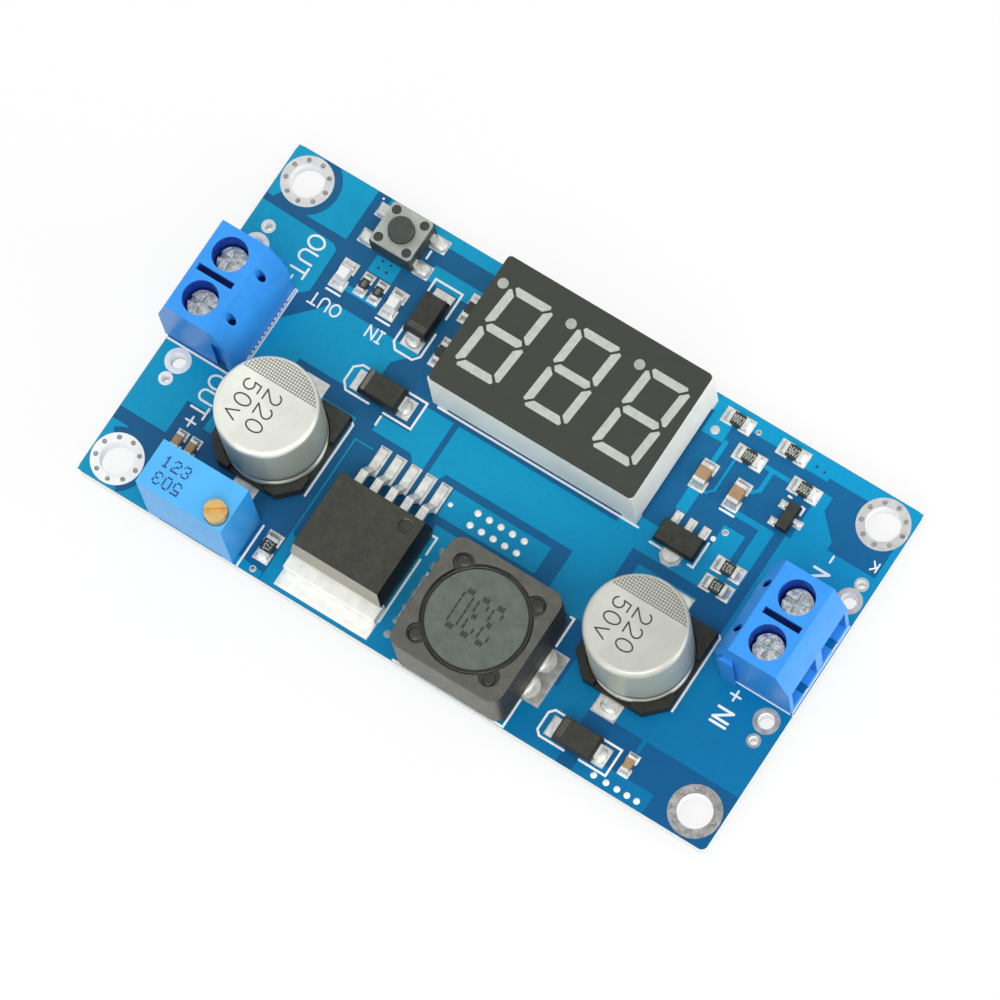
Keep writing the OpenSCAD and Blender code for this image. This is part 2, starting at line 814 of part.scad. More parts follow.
module terminal_housing(side) {
    rib_x = terminal_depth - dovetail_inset;
    rib_h = terminal_h - back_slope[1];
    color(terminal_blue)
        at_terminal(side)
            difference() {
                union() {
                    along_y(terminal_w)
                        terminal_profile();
                    translate([rib_x, terminal_w / 2, 0])
                        linear_extrude(rib_h)
                            dovetail(0, dovetail_depth);
                }
                for (pole = [1, 2])
                    translate([0, (pole - 1.5) * terminal_pitch, 0])
                        pole_openings();
                slab(
                    [top_slot[0], top_slot[1], top_slot[2] + cut],
                    [screw_inset, 0, terminal_h - top_slot[2]]);
                translate([rib_x, -terminal_w / 2, -cut])
                    linear_extrude(rib_h + cut)
                        dovetail(dovetail_play, dovetail_depth + dovetail_play);
            }
}

// Strip that the wire is pressed against, its leg down the back and its pin through the board
module terminal_contacts(side) {
    color(tin)
        for (pole = [1, 2])
            at_pole(side, pole) {
                box([leg_back - screw_inset + cage_l / 2, strip_w, strip_t],
                    [screw_inset - cage_l / 2, -strip_w / 2, strip_top - strip_t]);
                box([strip_t, strip_w, strip_top], [leg_back - strip_t, -strip_w / 2, 0]);
                slab([strip_t, contact_pin_w, board_t + pin_drop + strip_t],
                    [leg_back - strip_t / 2, 0, -board_t - pin_drop]);
            }
}

module terminal_screw(side, pole) {
    color(zinc)
        at_pole(side, pole)
            translate([screw_inset, 0, 0])
                difference() {
                    union() {
                        translate([0, 0, head_bottom])
                            cylinder(d = screw_head_d, h = screw_head_h);
                        translate([0, 0, screw_tip])
                            cylinder(d = screw_thread_d, h = head_bottom - screw_tip + cut);
                    }
                    translate([0, 0, head_bottom + screw_head_h - driver_slot_depth]) {
                        slab([screw_head_d + cut, driver_slot_w, driver_slot_depth + cut]);
                        slab([driver_slot_w, driver_cross_l, driver_slot_depth + cut]);
                    }
                }
}

// Cage that lifts the wire against the strip
module terminal_cage(side, pole) {
    window_w = cage_w - 2 * cage_wall;
    color(zinc)
        at_pole(side, pole)
            translate([screw_inset, 0, cage_bottom])
                difference() {
                    slab([cage_l, cage_w, cage_h]);
                    slab([cage_l + cut, window_w, cage_h - cage_floor_t - cage_roof_t], [0, 0, cage_floor_t]);
                    translate([0, 0, cage_h - cage_roof_t - cut])
                        cylinder(d = thread_bore_d, h = cage_roof_t + 2 * cut);
                }
}

// Trimmer
module trimmer_housing() {
    color(trimmer_blue)
        translate([trimmer_x, trimmer_y, board_t])
            difference() {
                slab([trimmer_l, trimmer_w, trimmer_h]);
                slab([trimmer_l - 2 * trimmer_foot_l, trimmer_w + cut, trimmer_foot_h + cut], [0, 0, -cut]);
                translate([trimmer_screw_place[0], trimmer_screw_place[1], trimmer_h - trimmer_bore_depth])
                    cylinder(d = trimmer_screw_d + 2 * trimmer_play, h = trimmer_bore_depth + cut);
            }
}

module trimmer_screw() {
    length = trimmer_screw_out + trimmer_bore_depth - bearing_play;
    color(brass)
        translate([trimmer_x, trimmer_y, board_t + trimmer_h + trimmer_screw_out - length])
            translate([trimmer_screw_place[0], trimmer_screw_place[1], 0])
                difference() {
                    cylinder(d = trimmer_screw_d, h = length);
                    translate([0, 0, length - trimmer_slot_depth])
                        rotate([0, 0, trimmer_slot_turn])
                            slab([trimmer_screw_d + cut, trimmer_slot_w, trimmer_slot_depth + cut]);
                }
}

module trimmer_pins() {
    color(tin)
        at_trimmer_pins()
            slab([trimmer_pin_w, trimmer_pin_w, board_t + pin_drop + trimmer_foot_h],
                [0, 0, -board_t - pin_drop]);
}

// Push button
module at_rivets() {
    for (sx = [-1, 1], sy = [-1, 1])
        translate([sx * rivet_place, sy * rivet_place, 0])
            children();
}

module switch_base() {
    color(black_plastic)
        at_place(switch_place, seat)
            difference() {
                union() {
                    slab([switch_w, switch_w, switch_base_top - switch_gap_below], [0, 0, switch_gap_below]);
                    at_rivets()
                        translate([0, 0, switch_gap_below])
                            cylinder(d = rivet_d, h = switch_h - switch_gap_below);
                }
                translate([0, 0, switch_floor])
                    cylinder(d = pocket_d, h = switch_h);
            }
}

module switch_cover() {
    color(steel)
        at_place(switch_place, seat + switch_base_top)
            difference() {
                linear_extrude(switch_cover_t)
                    rounded_square(switch_w, switch_w, switch_corner_r);
                translate([0, 0, -cut]) {
                    cylinder(d = button_d + 2 * button_play, h = switch_cover_t + 2 * cut);
                    at_rivets()
                        cylinder(d = rivet_d, h = switch_cover_t + 2 * cut);
                }
            }
}

module switch_button() {
    nub_bottom = switch_floor + dome_rise + dome_t + button_nub_gap;
    flange_bottom = button_flange_top - button_flange_t;
    color(black_plastic)
        at_place(switch_place, seat) {
            translate([0, 0, nub_bottom])
                cylinder(d = button_nub_d, h = flange_bottom - nub_bottom + button_flange_t);
            translate([0, 0, flange_bottom])
                cylinder(d = button_d + 2 * button_flange_w, h = button_flange_t);
            translate([0, 0, flange_bottom])
                cylinder(d = button_d, h = switch_h + button_out - button_bevel - flange_bottom);
            translate([0, 0, switch_h + button_out - button_bevel])
                cylinder(d1 = button_d, d2 = button_d - 2 * button_bevel, h = button_bevel);
        }
}

// Snap dome: a shallow cap of sprung sheet, standing on its rim
module switch_dome() {
    curve_r = (dome_d * dome_d / 4 + dome_rise * dome_rise) / (2 * dome_rise);
    half = asin(dome_d / 2 / curve_r);
    drop = [0, dome_rise - curve_r];
    color(steel)
        at_place(switch_place, seat + switch_floor)
            rotate_extrude()
                polygon(concat(
                    arc(drop, curve_r, 90 - half, 90),
                    arc(drop + [0, dome_t], curve_r, 90, 90 - half)));
}

module switch_legs() {
    color(tin)
        at_place(switch_place, seat)
            for (turn = [0, 180], y = [-switch_leg_y, switch_leg_y])
                rotate([0, 0, turn])
                    along_y(switch_leg_w, y)
                        polygon([
                            [switch_w / 2, 0], [switch_leg_reach, 0], [switch_leg_reach, switch_leg_t],
                            [switch_w / 2 + switch_leg_t, switch_leg_t],
                            [switch_w / 2 + switch_leg_t, switch_leg_rise], [switch_w / 2, switch_leg_rise]]);
}

// Display
module display_housing() {
    height = housing_top - display_foot_h;
    color(display_white)
        at_place(display_place)
            difference() {
                union() {
                    translate([0, 0, display_foot_h])
                        linear_extrude(height, scale = [display_l / display_base_l, display_w / display_base_w])
                            square([display_base_l, display_base_w], center = true);
                    for (sx = [-1, 1], sy = [-1, 1])
                        slab([display_foot_l, display_wall, display_foot_h],
                            [sx * (display_base_l - display_foot_l) / 2,
                                sy * (display_base_w - display_wall) / 2, 0]);
                }
                slab(
                    [display_l - 2 * display_wall, display_w - 2 * display_wall, height - display_roof_t + cut],
                    [0, 0, display_foot_h - cut]);
            }
}

// One digit: seven slanted bars, in a cell with its origin at the centre
module digit_bars() {
    half_h = digit_h / 2;
    half_w = digit_w / 2;
    multmatrix([[1, tan(digit_slant), 0, 0], [0, 1, 0, 0], [0, 0, 1, 0], [0, 0, 0, 1]]) {
        for (s = [-1, 1]) {
            mitred_bar([-half_w, s * half_h], [half_w, s * half_h], s, corner_gap);
            for (end = [-1, 1])
                mitred_bar([s * half_w, 0], [s * half_w, end * half_h], -s * end, waist_gap);
        }
        waist_bar();
    }
}

// Outer bar from one corner to the next: blunt at its tips, and shorter on the inside than on the outside
module mitred_bar(from, to, side, from_gap) {
    along = (to - from) / norm(to - from);
    inward = side * [along[1], -along[0]];
    a = from + from_gap * along;
    b = to - corner_gap * along;
    polygon([
        a + bar_blunt * along, b - bar_blunt * along, b + bar_tip * inward,
        b - bar_mitre * along + segment_w * inward, a + bar_mitre * along + segment_w * inward,
        a + bar_tip * inward]);
}

// Middle bar, pointed at both ends
module waist_bar() {
    tip = waist_bar_l / 2;
    flat = tip - waist_bar_point;
    half = segment_w / 2;
    polygon([[-tip, 0], [-flat, half], [flat, half], [tip, 0], [flat, -half], [-flat, -half]]);
}

// All lit shapes of the face
module face_shapes() {
    for (i = [-1:1])
        translate([i * digit_pitch + digit_shift[0], digit_shift[1]]) {
            digit_bars();
            translate([-digit_w / 2, digit_h / 2] + dot_shift)
                circle(d = dot_d);
        }
}

module display_face() {
    color(face_black)
        at_place(display_place, board_t + housing_top)
            linear_extrude(face_t)
                difference() {
                    rounded_square(display_l, display_w, display_corner_r);
                    face_shapes();
                }
}

module display_segments() {
    color(segment_grey)
        at_place(display_place, board_t + housing_top)
            linear_extrude(face_t)
                face_shapes();
}

module display_carrier() {
    color(carrier_green)
        at_place(display_place)
            slab(
                [display_l - 2 * display_wall, display_w - 2 * display_wall, carrier_t],
                [0, 0, carrier_bottom]);
}

module display_pins() {
    color(tin)
        at_display_pins()
            slab(
                [display_pin_w, display_pin_w, board_t + pin_drop + carrier_bottom],
                [0, 0, -board_t - pin_drop]);
}

// Microcontroller
module microcontroller_body() {
    color(black_plastic)
        at_place(display_place, seat)
            translate([0, chip_shift_y, chip_lead_t / 2])
                slab(chip_body);
}

module microcontroller_leads() {
    color(tin)
        at_place(display_place, seat)
            translate([0, chip_shift_y, 0])
                for (turn = [0, 180], i = [0:chip_lead_count - 1])
                    rotate([0, 0, turn])
                        along_x(chip_lead_w, (i - (chip_lead_count - 1) / 2) * chip_lead_pitch)
                            translate([chip_body[1] / 2, 0])
                                gull_profile(
                                    chip_lead_reach, chip_lead_reach / 2, chip_body[2] / 2, chip_lead_t);
}

// Regulator: own frame with Y from the body's tab side to its lead side
module regulator_body() {
    color(black_plastic)
        at_place(regulator_place, seat)
            difference() {
                translate([0, regulator_l / 2, 0])
                    drafted_body(regulator_w, regulator_l, regulator_h, regulator_draft, regulator_waist);
                regulator_tab_slab(cut);
                translate([
                        regulator_w / 2 - regulator_dimple_inset[0],
                        regulator_l - regulator_dimple_inset[1],
                        regulator_h - regulator_dimple_depth])
                    cylinder(d = regulator_dimple_d, h = regulator_dimple_depth + cut);
            }
}

// Tab: as wide as the body where it leaves it, and narrower inside
module regulator_tab_slab(below) {
    slab([regulator_w + 2 * tab_margin, tab_grip + tab_out, tab_t + below],
        [0, (tab_grip - tab_out) / 2, -below]);
    slab([regulator_w - 2 * tab_neck, tab_under, tab_t + below], [0, tab_under / 2, -below]);
}

module regulator_tab() {
    color(tin)
        at_place(regulator_place, seat)
            regulator_tab_slab(0);
}

module regulator_leads() {
    color(tin)
        at_place(regulator_place, seat)
            for (i = [0:lead_count - 1])
                along_x(lead_w, (i - (lead_count - 1) / 2) * lead_pitch)
                    translate([regulator_l, 0])
                        gull_profile(lead_reach, lead_bend, lead_level - lead_t / 2, lead_t, lead_knee);
}

// Inductor
module at_ears() {
    for (sx = [-1, 1], sy = [-1, 1])
        translate([sx * ear_place, sy * ear_place, 0])
            children();
}

module inductor_shield() {
    color(ferrite)
        at_place(inductor_place, seat + clip_t)
            difference() {
                linear_extrude(inductor_h - clip_t)
                    rounded_square(inductor_w, inductor_w, shield_corner_r);
                translate([0, 0, -cut]) {
                    cylinder(d = bore_d, h = inductor_h + 2 * cut);
                    at_ears()
                        cylinder(r = ear_r, h = inductor_h + 2 * cut);
                }
            }
}

module inductor_core() {
    height = inductor_h - clip_t - core_recess;
    color(ferrite)
        at_place(inductor_place, seat + clip_t) {
            cylinder(d = core_d, h = flange_t);
            cylinder(d = post_d, h = height);
            translate([0, 0, height - flange_t])
                cylinder(d = core_d, h = flange_t);
        }
}

module inductor_winding() {
    height = inductor_h - clip_t - core_recess - 2 * flange_t;
    color(copper)
        at_place(inductor_place, seat + clip_t + flange_t)
            difference() {
                cylinder(d = winding_d, h = height);
                translate([0, 0, -cut])
                    cylinder(d = post_d, h = height + 2 * cut);
            }
}

// Glue that fills the gap between the drum and the shield, and the ears
module inductor_glue() {
    top = inductor_h - clip_t - core_recess;
    color(glue_black)
        at_place(inductor_place, seat + clip_t + top - glue_t)
            linear_extrude(glue_t - core_recess)
                difference() {
                    union() {
                        circle(d = bore_d);
                        at_ears()
                            circle(r = ear_r);
                    }
                    circle(d = core_d);
                }
}

// Two soldering clips, each with two round lobes that show past the shield
module inductor_clips() {
    lobe_w = (clip_w - clip_lobe_gap) / 2;
    color(tin)
        at_place(inductor_place, seat)
            for (turn = [0, 180])
                rotate([0, 0, turn])
                    linear_extrude(clip_t) {
                        translate([inductor_w / 2 - clip_under, -clip_w / 2])
                            square([clip_under, clip_w]);
                        for (s = [-1, 1])
                            translate([inductor_w / 2, s * (lobe_w + clip_lobe_gap) / 2])
                                intersection() {
                                    translate([0, -lobe_w / 2])
                                        square([clip_out, lobe_w]);
                                    translate([clip_out - lobe_w / 2, 0])
                                        circle(d = lobe_w);
                                }
                    }
}

// Aluminium capacitors
module capacitor_can(place) {
    r = can_d / 2;
    bottom = can_lead_t + base_floor_t;
    color(aluminium)
        at_place(place, seat)
            rotate_extrude()
                polygon(concat(
                    [[0, bottom]],
                    arc([r - can_foot_r, bottom + can_foot_r], can_foot_r, -90, 0),
                    [[r, crimp_z - crimp_shoulder], [r - crimp_depth, crimp_z], [r, crimp_z + crimp_lip]],
                    arc([r - can_rim_r, can_h - pad_t - can_rim_r], can_rim_r, 0, 90),
                    [[0, can_h - pad_t]]));
}

module capacitor_base(place) {
    half = can_base_w / 2;
    color(black_plastic)
        at_place(place, seat + can_lead_t)
            difference() {
                linear_extrude(base_post_h)
                    polygon([
                        [-half, half], [half, half], [half, base_chamfer - half], [half - base_chamfer, -half],
                        [base_chamfer - half, -half], [-half, base_chamfer - half]]);
                translate([0, 0, base_floor_t]) {
                    cylinder(d = can_d + 2 * base_pocket_play, h = base_post_h);
                    slab([can_base_w + cut, base_side_gap, base_post_h]);
                    slab([base_side_gap, can_base_w + cut, base_post_h]);
                }
            }
}

module capacitor_leads(place) {
    color(tin)
        at_place(place, seat)
            for (s = [-1, 1])
                slab([can_lead_w, can_base_w / 2 + can_lead_out - can_lead_in, can_lead_t],
                    [0, s * (can_base_w / 2 + can_lead_out + can_lead_in) / 2, 0]);
}

// Rectifiers
module diode_body(index) {
    color(black_plastic)
        at_place(diode_places[index - 1], seat + diode_gap_below + diode_lead_t)
            drafted_body(diode_l, diode_w, diode_h - diode_gap_below - diode_lead_t, diode_draft,
                diode_lead_level - diode_lead_t);
}

module diode_leads(index) {
    side = diode_l / 2;
    color(tin)
        at_place(diode_places[index - 1], seat)
            for (turn = [0, 180])
                rotate([0, 0, turn])
                    along_y(diode_lead_w)
                        polygon([
                            [side - diode_lead_under, 0], [side + diode_lead_t, 0],
                            [side + diode_lead_t, diode_lead_level + diode_lead_t],
                            [side, diode_lead_level + diode_lead_t], [side, diode_lead_t],
                            [side - diode_lead_under, diode_lead_t]]);
}

// Small regulator of the meter: three leads on one side, a tab on the other
module logic_regulator_body() {
    color(black_plastic)
        at_place(logic_regulator_place, seat)
            translate([0, 0, logic_lead_t])
                drafted_body(
                    logic_body[0], logic_body[1], logic_body[2] - logic_lead_t, logic_draft, logic_lead_t);
}

module logic_regulator_leads() {
    half = logic_body[1] / 2;
    color(tin)
        at_place(logic_regulator_place, seat)
            linear_extrude(logic_lead_t) {
                for (i = [-1:1])
                    translate([i * logic_lead_pitch - logic_lead_w / 2, 0])
                        square([logic_lead_w, half + logic_lead_out]);
                translate([-logic_lead_pitch - logic_lead_w / 2, -logic_tab_w / 2])
                    square([2 * logic_lead_pitch + logic_lead_w, logic_tab_w]);
                translate([-logic_tab_w / 2, logic_tab_w / 2 - half - logic_tab_out])
                    square([logic_tab_w, half + logic_tab_out]);
                translate([0, logic_tab_w / 2 - half - logic_tab_out])
                    circle(d = logic_tab_w);
            }
}

// Transistor: two leads on the -X side, one on the +X side
module transistor_body() {
    color(black_plastic)
        at_place(transistor_place, seat + transistor_gap_below)
            drafted_body(transistor_size[0], transistor_size[1], transistor_size[2] - transistor_gap_below,
                lead_pad_side / 2, transistor_lead_level);
}

module transistor_leads() {
    color(tin)
        at_place(transistor_place, seat)
            for (p = transistor_leads_at)
                rotate([0, 0, p[0] > 0 ? 0 : 180])
                    along_y(transistor_lead_w, p[0] * p[1])
                        translate([transistor_size[0] / 2, 0])
                            gull_profile(transistor_lead_out, transistor_lead_out / 2, transistor_lead_level,
                                transistor_lead_t);
}

// Indicator lamps: a white base with a cast lens
module led(place) {
    color(led_white)
        at_place([place[0], place[1], 90], seat) {
            slab([chip_l - 2 * chip_cap, chip_w, led_base_t]);
            translate([0, 0, led_base_t])
                drafted_body(led_dome_l, chip_w, led_h - led_base_t, led_draft, 0);
        }
}

// Chip parts
module chip_bodies(places, l, w, h, cap) {
    for (p = places)
        at_place(p, seat)
            slab([l - 2 * cap, w, h]);
}

module chip_caps(places, l, w, h, cap) {
    for (p = places, s = [-1, 1])
        at_place(p, seat)
            slab([cap, w, h], [s * (l - cap) / 2, 0, 0]);
}

module chip_resistor_bodies() {
    color(black_plastic) {
        chip_bodies(resistor_places, chip_l, chip_w, resistor_h, chip_cap);
        chip_bodies(small_resistor_places, small_chip_l, small_chip_w, small_resistor_h, small_chip_cap);
    }
}

module chip_capacitor_bodies() {
    color(ceramic_tan) {
        chip_bodies(capacitor_places, chip_l, chip_w, capacitor_h, chip_cap);
        chip_bodies(small_capacitor_places, small_chip_l, small_chip_w, small_capacitor_h, small_chip_cap);
    }
}

module chip_ends() {
    led_places = [for (p = [output_led_place, input_led_place]) [p[0], p[1], 90]];
    color(tin) {
        chip_caps(resistor_places, chip_l, chip_w, resistor_h, chip_cap);
        chip_caps(small_resistor_places, small_chip_l, small_chip_w, small_resistor_h, small_chip_cap);
        chip_caps(capacitor_places, chip_l, chip_w, capacitor_h, chip_cap);
        chip_caps(small_capacitor_places, small_chip_l, small_chip_w, small_capacitor_h, small_chip_cap);
        chip_caps(led_places, chip_l, chip_w, led_base_t, chip_cap);
    }
}

circuit_board();
tinned_pads();
solder_joints();
terminal_housing(-1);  // out_terminal_housing
terminal_contacts(-1);  // out_terminal_contacts
terminal_screw(-1, 1);  // out_terminal_screw_1
terminal_screw(-1, 2);  // out_terminal_screw_2
terminal_cage(-1, 1);  // out_terminal_cage_1
terminal_cage(-1, 2);  // out_terminal_cage_2
terminal_housing(1);  // in_terminal_housing
terminal_contacts(1);  // in_terminal_contacts
terminal_screw(1, 1);  // in_terminal_screw_1
terminal_screw(1, 2);  // in_terminal_screw_2
terminal_cage(1, 1);  // in_terminal_cage_1
terminal_cage(1, 2);  // in_terminal_cage_2
trimmer_housing();
trimmer_screw();
trimmer_pins();
switch_base();
switch_cover();
switch_button();
switch_dome();
switch_legs();
display_housing();
display_face();
display_segments();
display_carrier();
display_pins();
microcontroller_body();
microcontroller_leads();
regulator_body();
regulator_tab();
regulator_leads();
inductor_shield();
inductor_core();
inductor_winding();
inductor_glue();
inductor_clips();
capacitor_can(output_capacitor_place);  // output_capacitor_can
capacitor_base(output_capacitor_place);  // output_capacitor_base
capacitor_leads(output_capacitor_place);  // output_capacitor_leads
capacitor_can(input_capacitor_place);  // input_capacitor_can
capacitor_base(input_capacitor_place);  // input_capacitor_base
capacitor_leads(input_capacitor_place);  // input_capacitor_leads
diode_body(1);  // diode_1_body
diode_leads(1);  // diode_1_leads
diode_body(2);  // diode_2_body
diode_leads(2);  // diode_2_leads
diode_body(3);  // diode_3_body
diode_leads(3);  // diode_3_leads
logic_regulator_body();
logic_regulator_leads();
transistor_body();
transistor_leads();
led(output_led_place);  // output_led
led(input_led_place);  // input_led
chip_resistor_bodies();
chip_capacitor_bodies();
chip_ends();
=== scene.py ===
"""Looks of an adjustable step-up converter module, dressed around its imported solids."""

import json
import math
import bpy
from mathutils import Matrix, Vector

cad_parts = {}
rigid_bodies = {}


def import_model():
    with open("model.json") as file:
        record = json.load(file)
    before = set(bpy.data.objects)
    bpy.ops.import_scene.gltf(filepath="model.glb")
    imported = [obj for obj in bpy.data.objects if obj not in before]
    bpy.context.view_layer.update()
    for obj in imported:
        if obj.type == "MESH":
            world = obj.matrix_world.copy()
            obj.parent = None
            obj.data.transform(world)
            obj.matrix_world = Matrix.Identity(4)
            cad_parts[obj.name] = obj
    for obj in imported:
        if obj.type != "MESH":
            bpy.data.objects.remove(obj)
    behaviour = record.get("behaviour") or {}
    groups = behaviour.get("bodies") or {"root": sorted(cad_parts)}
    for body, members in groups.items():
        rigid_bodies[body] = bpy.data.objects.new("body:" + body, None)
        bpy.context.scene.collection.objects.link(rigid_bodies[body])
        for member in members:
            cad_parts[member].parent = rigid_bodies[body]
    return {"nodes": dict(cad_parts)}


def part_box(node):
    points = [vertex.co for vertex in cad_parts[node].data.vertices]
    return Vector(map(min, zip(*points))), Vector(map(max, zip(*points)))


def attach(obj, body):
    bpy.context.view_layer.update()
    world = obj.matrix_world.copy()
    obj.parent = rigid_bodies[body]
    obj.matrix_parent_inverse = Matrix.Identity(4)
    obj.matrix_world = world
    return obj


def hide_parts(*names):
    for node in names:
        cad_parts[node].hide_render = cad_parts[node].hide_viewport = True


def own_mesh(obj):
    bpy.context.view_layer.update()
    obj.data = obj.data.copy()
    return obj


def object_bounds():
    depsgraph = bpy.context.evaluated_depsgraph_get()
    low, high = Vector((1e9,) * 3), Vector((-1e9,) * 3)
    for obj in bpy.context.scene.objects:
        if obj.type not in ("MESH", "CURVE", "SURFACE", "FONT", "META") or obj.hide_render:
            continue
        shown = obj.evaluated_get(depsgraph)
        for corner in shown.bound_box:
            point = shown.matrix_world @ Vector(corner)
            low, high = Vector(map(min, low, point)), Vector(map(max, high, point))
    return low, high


bl_info = {
    "name": "Step-up converter module",
    "version": (1, 0, 0),
    "blender": (4, 5, 0),
    "location": "3D View > Sidebar > Module",
    "description": "Dresses the solids of a step-up converter board and sets its stage",
    "category": "Object",
}

import bmesh
import bpy
import numpy as np
from mathutils import Matrix, Vector
from mathutils.geometry import delaunay_2d_cdt

for leftover in list(bpy.data.objects):
    bpy.data.objects.remove(leftover)
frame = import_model()
cad_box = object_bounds()

MM = 0.001
BODY = "module"
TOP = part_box("circuit_board")[1].z / MM
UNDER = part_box("circuit_board")[0].z / MM
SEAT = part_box("tinned_pads")[1].z / MM
# How far a piece is let into what carries it, in millimetres
SINK = 0.01
# Points nearer than this are one, in metres
WELD = 1e-7
# Angle below which neighbouring faces count as one flat face, in degrees
FLAT_ANGLE = 1.0
# Edges sharper than this are rounded on moulded and stamped pieces, in degrees
SOFT_ANGLE = 28.0
# Edges up to this angle are shaded smooth on solder and other cast skins, in degrees
CAST_ANGLE = 60.0
# The two ends of the board, as the capacitors and as the terminals name them
ENDS = ("output", "input")
TERMINAL_ENDS = ("out", "in")


def srgb(red, green, blue):
    """Linear colour of an sRGB triple from 0 to 255."""
    part = np.array([red, green, blue]) / 255
    linear = np.where(part <= 0.04045, part / 12.92, ((part + 0.055) / 1.055) ** 2.4)
    return (*linear.tolist(), 1.0)


def scaled(colour, share):
    """Colour with a share of its light, which may be more than all of it."""
    return (*[part * share for part in colour[:3]], 1.0)


def corners_of(node):
    """Lowest and highest corner of a CAD node's box, in millimetres."""
    return [np.array(corner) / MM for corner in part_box(node)]


def centre_of(node):
    """Middle of a CAD node's box, in millimetres."""
    low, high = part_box(node)
    return np.array((low + high) / 2) / MM


def top_of(node):
    """Height of a CAD node's highest point, in millimetres."""
    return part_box(node)[1].z / MM


def points_of(node):
    """Points of a CAD node's mesh, in millimetres."""
    mesh = frame["nodes"][node].data
    points = np.empty(len(mesh.vertices) * 3)
    mesh.vertices.foreach_get("co", points)
    return points.reshape(-1, 3) / MM


def solids(node):
    """Lowest corner, highest corner and triangle count of each separate solid of a node, in millimetres.
    Points that agree to four decimals are one, and triangles that share a point take the lowest label among
    their points, until no label changes."""
    mesh = frame["nodes"][node].data
    points = points_of(node)
    corners = np.empty(len(mesh.loops), np.int64)
    mesh.loops.foreach_get("vertex_index", corners)
    key = np.unique(np.round(points * 1e4).astype(np.int64), axis=0, return_inverse=True)[1].ravel()
    triangles = key[corners].reshape(-1, 3)
    label = np.arange(key.max() + 1)
    while True:
        lowest = label[triangles].min(1)
        spread = label.copy()
        np.minimum.at(spread, triangles.ravel(), np.repeat(lowest, 3))
        if (spread == label).all():
            break
        label = spread
    of_point = label[key]
    of_triangle = label[triangles[:, 0]]
    found = []
    for name in np.unique(of_point):
        own = points[of_point == name]
        found.append((own.min(0), own.max(0), int((of_triangle == name).sum())))
    return found


# Shapes: each gives an array of points in millimetres and a list of faces


def grid_faces(rows, columns, loop=False):
    """Quads between neighbouring points of a grid whose columns run round, and whose rows may too."""
    row, column = np.meshgrid(np.arange(rows if loop else rows - 1), np.arange(columns), indexing="ij")
    below = (row + 1) % rows
    beside = (column + 1) % columns
    row = row * columns
    below = below * columns
    return np.stack([row + column, row + beside, below + beside, below + column], -1).reshape(-1, 4).tolist()


def loft(sections, loop=False, caps=True):
    """Skin over closed sections, an array of section by point: quads from each section to the next, and a
    flat face over each end."""
    rows, columns = sections.shape[:2]
    faces = grid_faces(rows, columns, loop)
    if caps and not loop:
        faces.append(list(range(columns)))
        faces.append(list(range((rows - 1) * columns, rows * columns)))
    return sections.reshape(-1, 3), faces


def joined(shapes):
    """One shape from several."""
    points = np.concatenate([shape[0] for shape in shapes])
    starts = np.cumsum([0] + [len(shape[0]) for shape in shapes[:-1]])
    faces = [[corner + start for corner in face] for shape, start in zip(shapes, starts) for face in shape[1]]
    return points, faces


def at_level(flat, level):
    """Flat points lifted to a height."""
    return np.column_stack([flat, np.full(len(flat), level)])


def ribbon(path, width, z, height, loop=False):
    """Flat strip along a path: each point is pushed half the width along the mean normal of its two sides,
    stretched so that the strip keeps its width round a corner, and the ends are half circles."""
    path = np.asarray(path, float)
    step = np.diff(path, axis=0, append=path[:1]) if loop else np.diff(path, axis=0)
    side = step / np.linalg.norm(step, axis=1, keepdims=True)
    before = np.roll(side, 1, 0) if loop else np.vstack([side[:1], side])
    after = side if loop else np.vstack([side, side[-1:]])
    normal = np.stack([-before[:, 1] - after[:, 1], before[:, 0] + after[:, 0]], -1)
    normal = normal * 2 / (normal ** 2).sum(1, keepdims=True)
    half = np.full(len(path), width / 2)
    if not loop:
        turn = np.radians([90, 60, 30])
        reach = width / 2 * np.sin(turn)
        path = np.vstack([path[0] - reach[:, None] * side[0], path, path[-1] + reach[::-1, None] * side[-1]])
        normal = np.vstack([np.repeat(normal[:1], 3, 0), normal, np.repeat(normal[-1:], 3, 0)])
        taper = width / 2 * np.cos(turn)
        half = np.concatenate([taper, half, taper[::-1]])
    left = path + normal * half[:, None]
    right = path - normal * half[:, None]
    low, high = z, z + height
    return loft(np.stack([at_level(left, low), at_level(left, high),
                          at_level(right, high), at_level(right, low)], 1), loop, caps=False)


def revolved(profile, x, y, steps=16, loop=False):
    """Surface of revolution about an upright axis: each radius and height of the profile becomes a ring, and
    the last ring joins the first where the profile is a closed section."""
    profile = np.asarray(profile, float)
    angle = np.linspace(0, 2 * np.pi, steps, endpoint=False)
    radius = profile[:, :1]
    height = np.repeat(profile[:, 1:], steps, 1)
    rings = np.stack([x + radius * np.cos(angle), y + radius * np.sin(angle), height], -1)
    return loft(rings, loop, caps=False)


def dome(x, y, z, radius, height, steps=16):
    """Low round bump: an arch of a quarter ellipse turned about its axis, closed below."""
    arch = np.radians(np.linspace(0, 90, 5))
    profile = np.column_stack([radius * np.cos(arch), z + height * np.sin(arch)])
    return revolved(np.vstack([[0, z], profile]), x, y, steps)


def button_disc(x, y, z, radius, height, steps=16):
    """Flat disc with a rounded rim, turned about its axis and closed below."""
    profile = [(0, z), (radius, z), (radius, z + 0.5 * height), (0.88 * radius, z + height), (0, z + height)]
    return revolved(profile, x, y, steps)


def mound(x, y, z, half_x, half_y, height, steps=20):
    """Half of an ellipsoid: a round bump stretched along and across."""
    points, faces = dome(0.0, 0.0, 0.0, 1.0, 1.0, steps)
    return points * (half_x, half_y, height) + (x, y, z), faces


